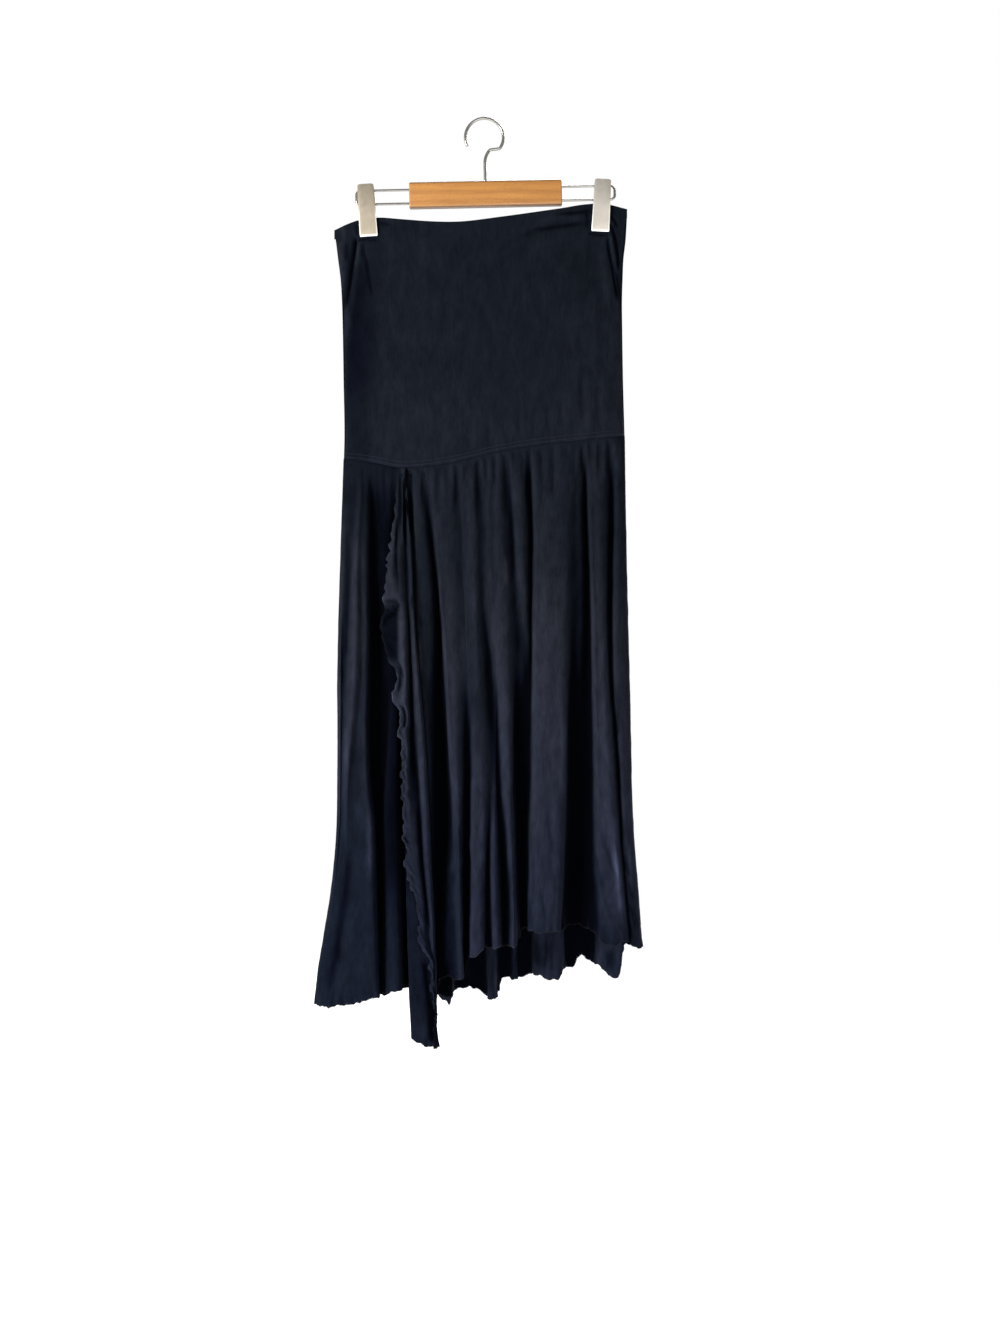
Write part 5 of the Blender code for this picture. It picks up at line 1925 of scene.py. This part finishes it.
# Sharp folds on the under front: slight troughs with painted shade along them; negative heights are painted
# highlights.
UNDER_PINCHES = crease_lines(
    ((-148.5, -737, -150.5, -778, -152, -831), 0.36, 9),
    ((-169, -577, -169.5, -636, -169.5, -695), 0.5, 2.2), ((-163, -471, -163, -542, -164, -615), 0.5, 4),
    ((-164, -572, -164, -653), 0.35, 3.5), ((-133.5, -808, -134.5, -914), -0.9, 4),
    ((-163, -721, -164, -781), -0.4, 3), ((-172.5, -983, -171, -1012), 0.4, 5),
)
UNDER_HEM_X = (
    -201.5, -198.5, -193, -181.5, -158.5, -146.5, -138, -126, -118, -110.5, -105, -97.5, -90.5, -77.5,
    -58.5, -38.5,
)
UNDER_HEM_Z = (
    -1057, -1060, -1060, -1059, -1055, -1053, -1049, -1046, -1045, -1042, -1039, -1038, -1038, -1041, -1046,
    -1051,
)


def under_front(outline: Outline) -> UnderFront:
    """The layer under the wrap: a broad smooth left fold, a deep valley and a hidden part."""
    return UnderFront(
        "under_front", Side.FRONT, outline, (0.19, 0.65), columns=200, rows=150, seed=8,
        runs=(UNDER_FOLDS,), hem_x=UNDER_HEM_X, hem_z=UNDER_HEM_Z, gathers=UNDER_GATHERS,
        creases=UNDER_CREASES, pinches=UNDER_PINCHES, seam_on_right=False,
    )


# The back's folds, from the left side seam to the right one.
BACK_FOLDS = fold_run(
    (-432, -560, -696, -840, -984),
    ((-158, -160, -163, -168, -178), 0),
    Valley((-149, -151, -154, -160, -168), (-131, -133, -135, -138, -146), (4, 10, 14, 17, 16), lean=-0.3),
    ((-122, -124, -127, -130, -134), (0, -1, -1, -1, 0)),
    Valley((-115, -113, -114, -118, -120), (-104, -103, -104, -106, -108), (3, 7, 12, 16, 18)),
    ((-96, -94, -93, -94, -96), 0),
    ((-80, -78, -76, -75, -74), (0, -1, -1, -1, -1)),
    Valley((-69, -68, -67, -66, -63), (-47, -46, -44, -41, -37), (5, 12, 17, 20, 21), lean=0.3, floor=0.5),
    ((-38, -36, -34, -31, -28), 0),
    ((-22, -21, -19, -17, -14), (0, -1, -1, -1, 0)),
    Valley((-11, -9, -8, -5, 0), (8, 10, 12, 14, 17), (4, 10, 15, 20, 22), lean=-0.2),
    ((21, 22, 23, 24, 25), 0),
    Valley((31, 32, 33, 32, 31), (41, 42, 43, 43, 42), (1, 3, 6, 8, 9)),
    ((47, 48, 49, 50, 50), 0),
    Valley((55, 56, 57, 57, 57), (84, 88, 92, 95, 98), (4, 10, 16, 20, 22), floor=0.7),
    ((92, 95, 99, 102, 104), 0),
    ((106, 108, 110, 112, 115), (0, -1, -1, -1, 0)),
    ((116, 118, 120, 122, 124), 0),
    Valley((124, 126, 129, 131, 133), (146, 150, 156, 162, 168), (4, 8, 12, 15, 16), lean=0.5, floor=0.72),
    ((155, 158, 163, 169, 175), 0),
)
BACK_CREASES = crease_lines(
    ((-60, -880, -30, -930, -20, -980), 1.2, 6), ((110, -860, 128, -930), 1.1, 5),
    ((-120, -700, -110, -820, -112, -930), 0.9, 7), ((40, -620, 46, -740, 44, -860), -0.9, 6),
)
# Sharp folds on the back: slight troughs with painted shade along them; a negative height is a painted
# highlight.
BACK_PINCHES = crease_lines(
    ((74, -980, 75.5, -1002, 71.5, -1029), 0.6, 2.2), ((82.5, -984, 80.5, -1008, 82.5, -1033), 0.5, 2.2),
    ((64.5, -978, 63, -1002, 67, -1024), 0.4, 2.4), ((155, -996, 152.5, -1012, 156, -1029), 0.5, 2.2),
    ((147.5, -1000, 150, -1014, 147.5, -1029), 0.4, 2), ((9.5, -1002, 10.5, -1026, 8, -1051), 0.35, 1.6),
    ((65.5, -987, 67, -1026), 0.4, 5), ((151, -995, 155, -1024), 0.5, 7),
    ((-22.5, -996, -21, -1046), -1.2, 5),
)
BACK_HEM_X = (
    -200.5, -188, -170.5, -152.5, -128.5, -104, -79.5, -64, -57.5, -55.5, -48, -44.5, -43, -41, -39.5,
    -35.5, -31, -24.5, -21, -16, -11.5, -5, -2, 1.5, 8, 15.5, 18.5, 20, 23, 30, 39, 46, 53.5, 62, 70.5,
    76.5, 86.5, 93.5, 96, 101, 109.5, 111.5, 114.5, 119, 124, 130, 137.5, 143.5, 148.5, 154.5, 160.5, 164.5,
    165.5, 166, 168.5, 188.5,
)
BACK_HEM_Z = (
    -1055, -1058, -1056, -1052, -1045, -1043, -1045, -1048, -1048, -1057, -1059, -1061, -1068, -1068, -1056,
    -1050, -1047, -1050, -1048, -1047, -1050, -1050, -1053, -1058, -1059, -1058, -1052, -1037, -1035, -1035,
    -1037, -1035, -1031, -1029, -1030, -1035, -1035, -1032, -1023, -1022, -1023, -1014, -1010, -1008, -1011,
    -1015, -1017, -1021, -1027, -1031, -1033, -1032, -1027, -1000, -993, -990,
)


def skirt_back(outline: Outline) -> GatheredPanel:
    """The gathered back, from the left side seam to the right."""
    spots = np.random.default_rng(21)
    gathers = tuple(
        Gather(float(x + spots.uniform(-3, 3)), float(spots.uniform(50, 100)),
               float(spots.uniform(0.8, 2.0)))
        for x in np.arange(-152, 160, 9.6)
    )
    return GatheredPanel(
        "skirt_back", Side.BACK, outline, (0.52, 0.64), columns=330, rows=146, seed=13,
        runs=(BACK_FOLDS,), hem_x=BACK_HEM_X, hem_z=BACK_HEM_Z, gathers=gathers,
        creases=BACK_CREASES, pinches=BACK_PINCHES, inner=(0.09, 0.85),
    )


# The yoke's side flaps and the drag from the clips.
YOKE_FLAPS = crease_lines(
    ((-148, -139, -151.5, -170, -156, -216, -161, -258), 1.6, 3.4, 0.12),
    ((-153, -139, -157.5, -170, -162, -210), -2.2, 3.0, 0.15),
    ((152, -137, 155.5, -160, 159, -187), 1.6, 2.4, 0.12),
    ((155, -134, 160, -158, 163, -178), -1.0, 2.2, 0.15), ((142, -150, 145, -186, 151, -228), 1.0, 5, 0.25),
    ((128, -117, 92, -117, 54, -123), 1.1, 3.6, 0.4), ((128, -124, 92, -126, 48, -136), -1.1, 3.6, 0.4),
    ((128, -135, 92, -143, 42, -157), 0.8, 5, 0.4),
)
# The short folds that run up from the yoke's seam.
YOKE_DRAGS = tuple(
    Crease((x, start, x - 1, (start + stop) / 2, x + 1, stop), height, width, 0.4)
    for x, start, stop, height, width in (
        (117, -284, -378, -1.1, 3.4), (136, -310, -376, -0.8, 2.8), (125, -330, -380, 0.6, 3.0),
        (92, -328, -382, -0.8, 2.6), (76, -334, -384, -0.9, 2.4), (59, -340, -387, -0.7, 2.4),
        (42, -345, -390, -0.9, 2.2), (24, -356, -393, -0.6, 2.4), (6, -364, -398, -0.7, 2.2),
        (-18, -368, -404, -0.5, 2.6), (-53, -378, -412, -0.5, 2.4), (-95, -372, -414, -0.4, 2.8),
    )
)
# The yoke's sharp folds where the flaps turn under beside the clips, with painted shade along them, and
# painted shadows under and beside the clips.
YOKE_PINCHES = crease_lines(
    ((-153, -137, -156, -159, -158.5, -176, -160.5, -193, -163, -211, -166, -231), 0.95, 2.7, 0.15),
    ((-144.5, -151, -142.5, -164, -140, -176, -137.5, -193, -134.5, -207, -131.5, -222), 0.55, 2.3),
    ((-147.5, -159, -148.5, -193, -149.5, -231), 0.42, 14), ((-128, -122, -126.5, -141), 0.6, 2),
    ((-128, -124, -118.5, -125, -110, -127), 0.6, 1.8),
    ((150.5, -115, 154, -118, 157.5, -123, 160.5, -130), 0.85, 1.5, 0.2),
    ((151, -124, 154.5, -133, 158, -145, 159.5, -157, 161, -169, 161, -183), 0.95, 1.7, 0.15),
    ((148, -137, 149, -155, 151.5, -167, 154, -179, 155.5, -191, 158, -205, 160.5, -221), 0.95, 1.8, 0.15),
    ((124.5, -107, 124, -135), 0.5, 2), ((80, -115, 105, -112.5, 123.5, -110, 142, -109), 0.8, 2.2, 0.4),
    ((34, -143, 62, -133, 96, -128, 123.5, -123, 146, -120), 0.68, 3, 0.4),
    ((42, -141, 66, -137), 0.25, 3, 0.4), ((-152, -145, -140, -144, -127, -144), 0.75, 1.7, 0.1),
    ((124.5, -137, 138, -138, 150, -138), 0.75, 1.7, 0.1), ((-152.5, -123, -151.5, -142), 0.5, 1.6),
    ((-176, -128, -172.5, -150), 0.38, 5), ((-165, -143, -165, -174), 0.5, 3.6),
    ((-146, -145, -145, -169), 0.5, 3.2),
)


# ---------------- the whole skirt and its hanger
@dataclass
class Skirt:
    """The whole skirt: five cloth pieces, their stitches and their curled hems."""

    outline: Outline
    knit: Material
    thread: Material

    def build(self) -> None:
        tool = StitchTool(self.thread)
        cover, hem = CoverStitch(tool), OverlockedHem(tool)
        for side, seed in ((Side.FRONT, 11), (Side.BACK, 17)):
            word = side.name.lower()
            yoke = YokePanel(f"yoke_{word}", side, self.outline, (0.355, 0.31), columns=220,
                             rows=100, seed=seed, creases=YOKE_FLAPS + YOKE_DRAGS,
                             pinches=YOKE_PINCHES)
            piece, shell = yoke.build(self.knit)
            outer = Shell(shell.points[yoke.fold_rows :])
            seam = cover.sew(f"cover_stitch_{word}", outer, self.outline, side)
        for panel in [made(self.outline) for made in (wrap_front, under_front, skirt_back)]:
            piece, shell = panel.build(self.knit)
            out = shell.normals() * -panel.side.value
            edges = [self.free_edge(panel, v) for v in (shell.points, out, shell.pale_tone_and_painted_light[0])]
            bead = hem.sew(f"overlocked_{panel.node}", *edges)
            f"yoke_{panel.side.name.lower()}_jersey"
            LOG.info("%s: %d faces", bead.name, len(bead.data.polygons))

    def free_edge(self, panel: GatheredPanel, values: Array) -> Array:
        """A panel's values along its hem and, on a front, along its free side."""
        if panel.side is Side.BACK:
            return values[-1]
        if panel.seam_on_left:
            return np.concatenate([values[-1], values[2:-1, -1][::-1]])
        return np.concatenate([values[2:-1, 0], values[-1]])


@dataclass
class Hanger:
    """The whole hanger."""

    frame: HangerFrame
    wood: Material
    plates: tuple[Material, Material]
    drawn: Material

    def build(self) -> None:
        """Makes the bar, wires and clips."""
        WoodenBar(self.frame).build(self.wood)
        wires = HangerWires(self.frame)
        wires.rods(self.drawn)
        wires.hook(self.drawn)
        clips = (("clip_left", -143, -2.4), ("clip_right", 140, 4.2))
        for (name, x, lean), plate in zip(clips, self.plates):
            SpringClip(name, x, lean, self.frame).build(plate)


# ---------------- the studio
@dataclass
class Studio:
    """White surroundings, soft lights and the camera."""

    camera_at: Triple = (0.0192, -2.4, -0.656)
    lens: float = 72.0
    white: float = 1.0
    room: float = 0.1
    mirrored: float = 0.6
    key: float = 120.0
    fill: float = 20.0
    back: float = 90.0
    floor_at: float = -1.5

    def build(self) -> None:
        """Makes the camera, lights, surroundings and floor."""
        scene = bpy.context.scene
        scene.view_settings.view_transform = "Standard"
        lens = bpy.data.cameras.new("camera")
        lens.lens = self.lens
        lens.sensor_fit = "HORIZONTAL"
        lens.clip_end = 50
        camera = bpy.data.objects.new("camera", lens)
        camera.location = self.camera_at
        camera.rotation_euler = (math.radians(90), 0, 0)
        scene.collection.objects.link(camera)
        scene.camera = camera
        scene.world = self.surroundings()
        self.softbox("key", (-2.0, -1.7, -0.3), (0, 0, -0.7), 0.8, self.key)
        self.softbox("fill", (0.6, -2.6, -0.8), (0, 0, -0.6), 1.2, self.fill)
        self.softbox("back", (0.6, 1.9, 1.0), (0, 0, -0.5), 1.2, self.back)
        self.floor()

    def surroundings(self) -> bpy.types.World:
        """White paper all round; the room's own light on the skirt is much weaker."""
        world = bpy.data.worlds.new("white_surroundings")
        world.use_nodes = True
        tree = world.node_tree
        rays = add_node(tree, "ShaderNodeLightPath").outputs
        mirrored = ranged(tree, rays["Is Glossy Ray"], 0, 1, self.room, self.mirrored)
        strength = ranged(tree, rays["Is Camera Ray"], 0, 1, mirrored, self.white)
        set_inputs(tree.nodes["Background"], Color=(1, 1, 1, 1), Strength=strength)
        return world

    def softbox(self, name: str, place: tuple, aim: tuple, size: float, power: float) -> None:
        """Adds a square area light that looks at a point."""
        light = bpy.data.lights.new(name, "AREA")
        light.shape = "SQUARE"
        light.size = size
        light.energy = power
        lamp = bpy.data.objects.new(name, light)
        lamp.location = place
        way = Vector(aim) - Vector(place)
        lamp.rotation_euler = way.to_track_quat("-Z", "Y").to_euler()
        bpy.context.scene.collection.objects.link(lamp)

    def floor(self) -> None:
        """Adds the paper floor."""
        mesh = bmesh.new()
        bmesh.ops.create_circle(mesh, cap_ends=True, segments=96, radius=4.0)
        data = bpy.data.meshes.new("paper_floor")
        mesh.to_mesh(data)
        mesh.free()
        data.materials.append(StudioPaper().material())
        floor = linked("paper_floor", data)
        floor.location = (0, 0, self.floor_at)


def main() -> None:
    """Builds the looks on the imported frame."""
    logging.basicConfig(level=logging.INFO, format="%(message)s")
    wood = VarnishedBeech().material()
    # Painted light: the two clips are the same chrome, and the right one's plating colour is lighter only
    # for how it is lit.
    plates = (
        ChromePlate("chromed_steel_plate_left", "#9F9584").material(),
        ChromePlate("chromed_steel_plate_right", "#AEA89E").material(),
    )
    drawn = ChromePlate("chromed_steel_wire", "#8F8D88", roughness=0.2, haze=0.03).material()
    Hanger(HangerFrame(), wood, plates, drawn).build()
    Skirt(Outline(), JerseyKnit().material(), SewingThread().material()).build()
    Studio().build()


if __name__ == "__main__":
    main()
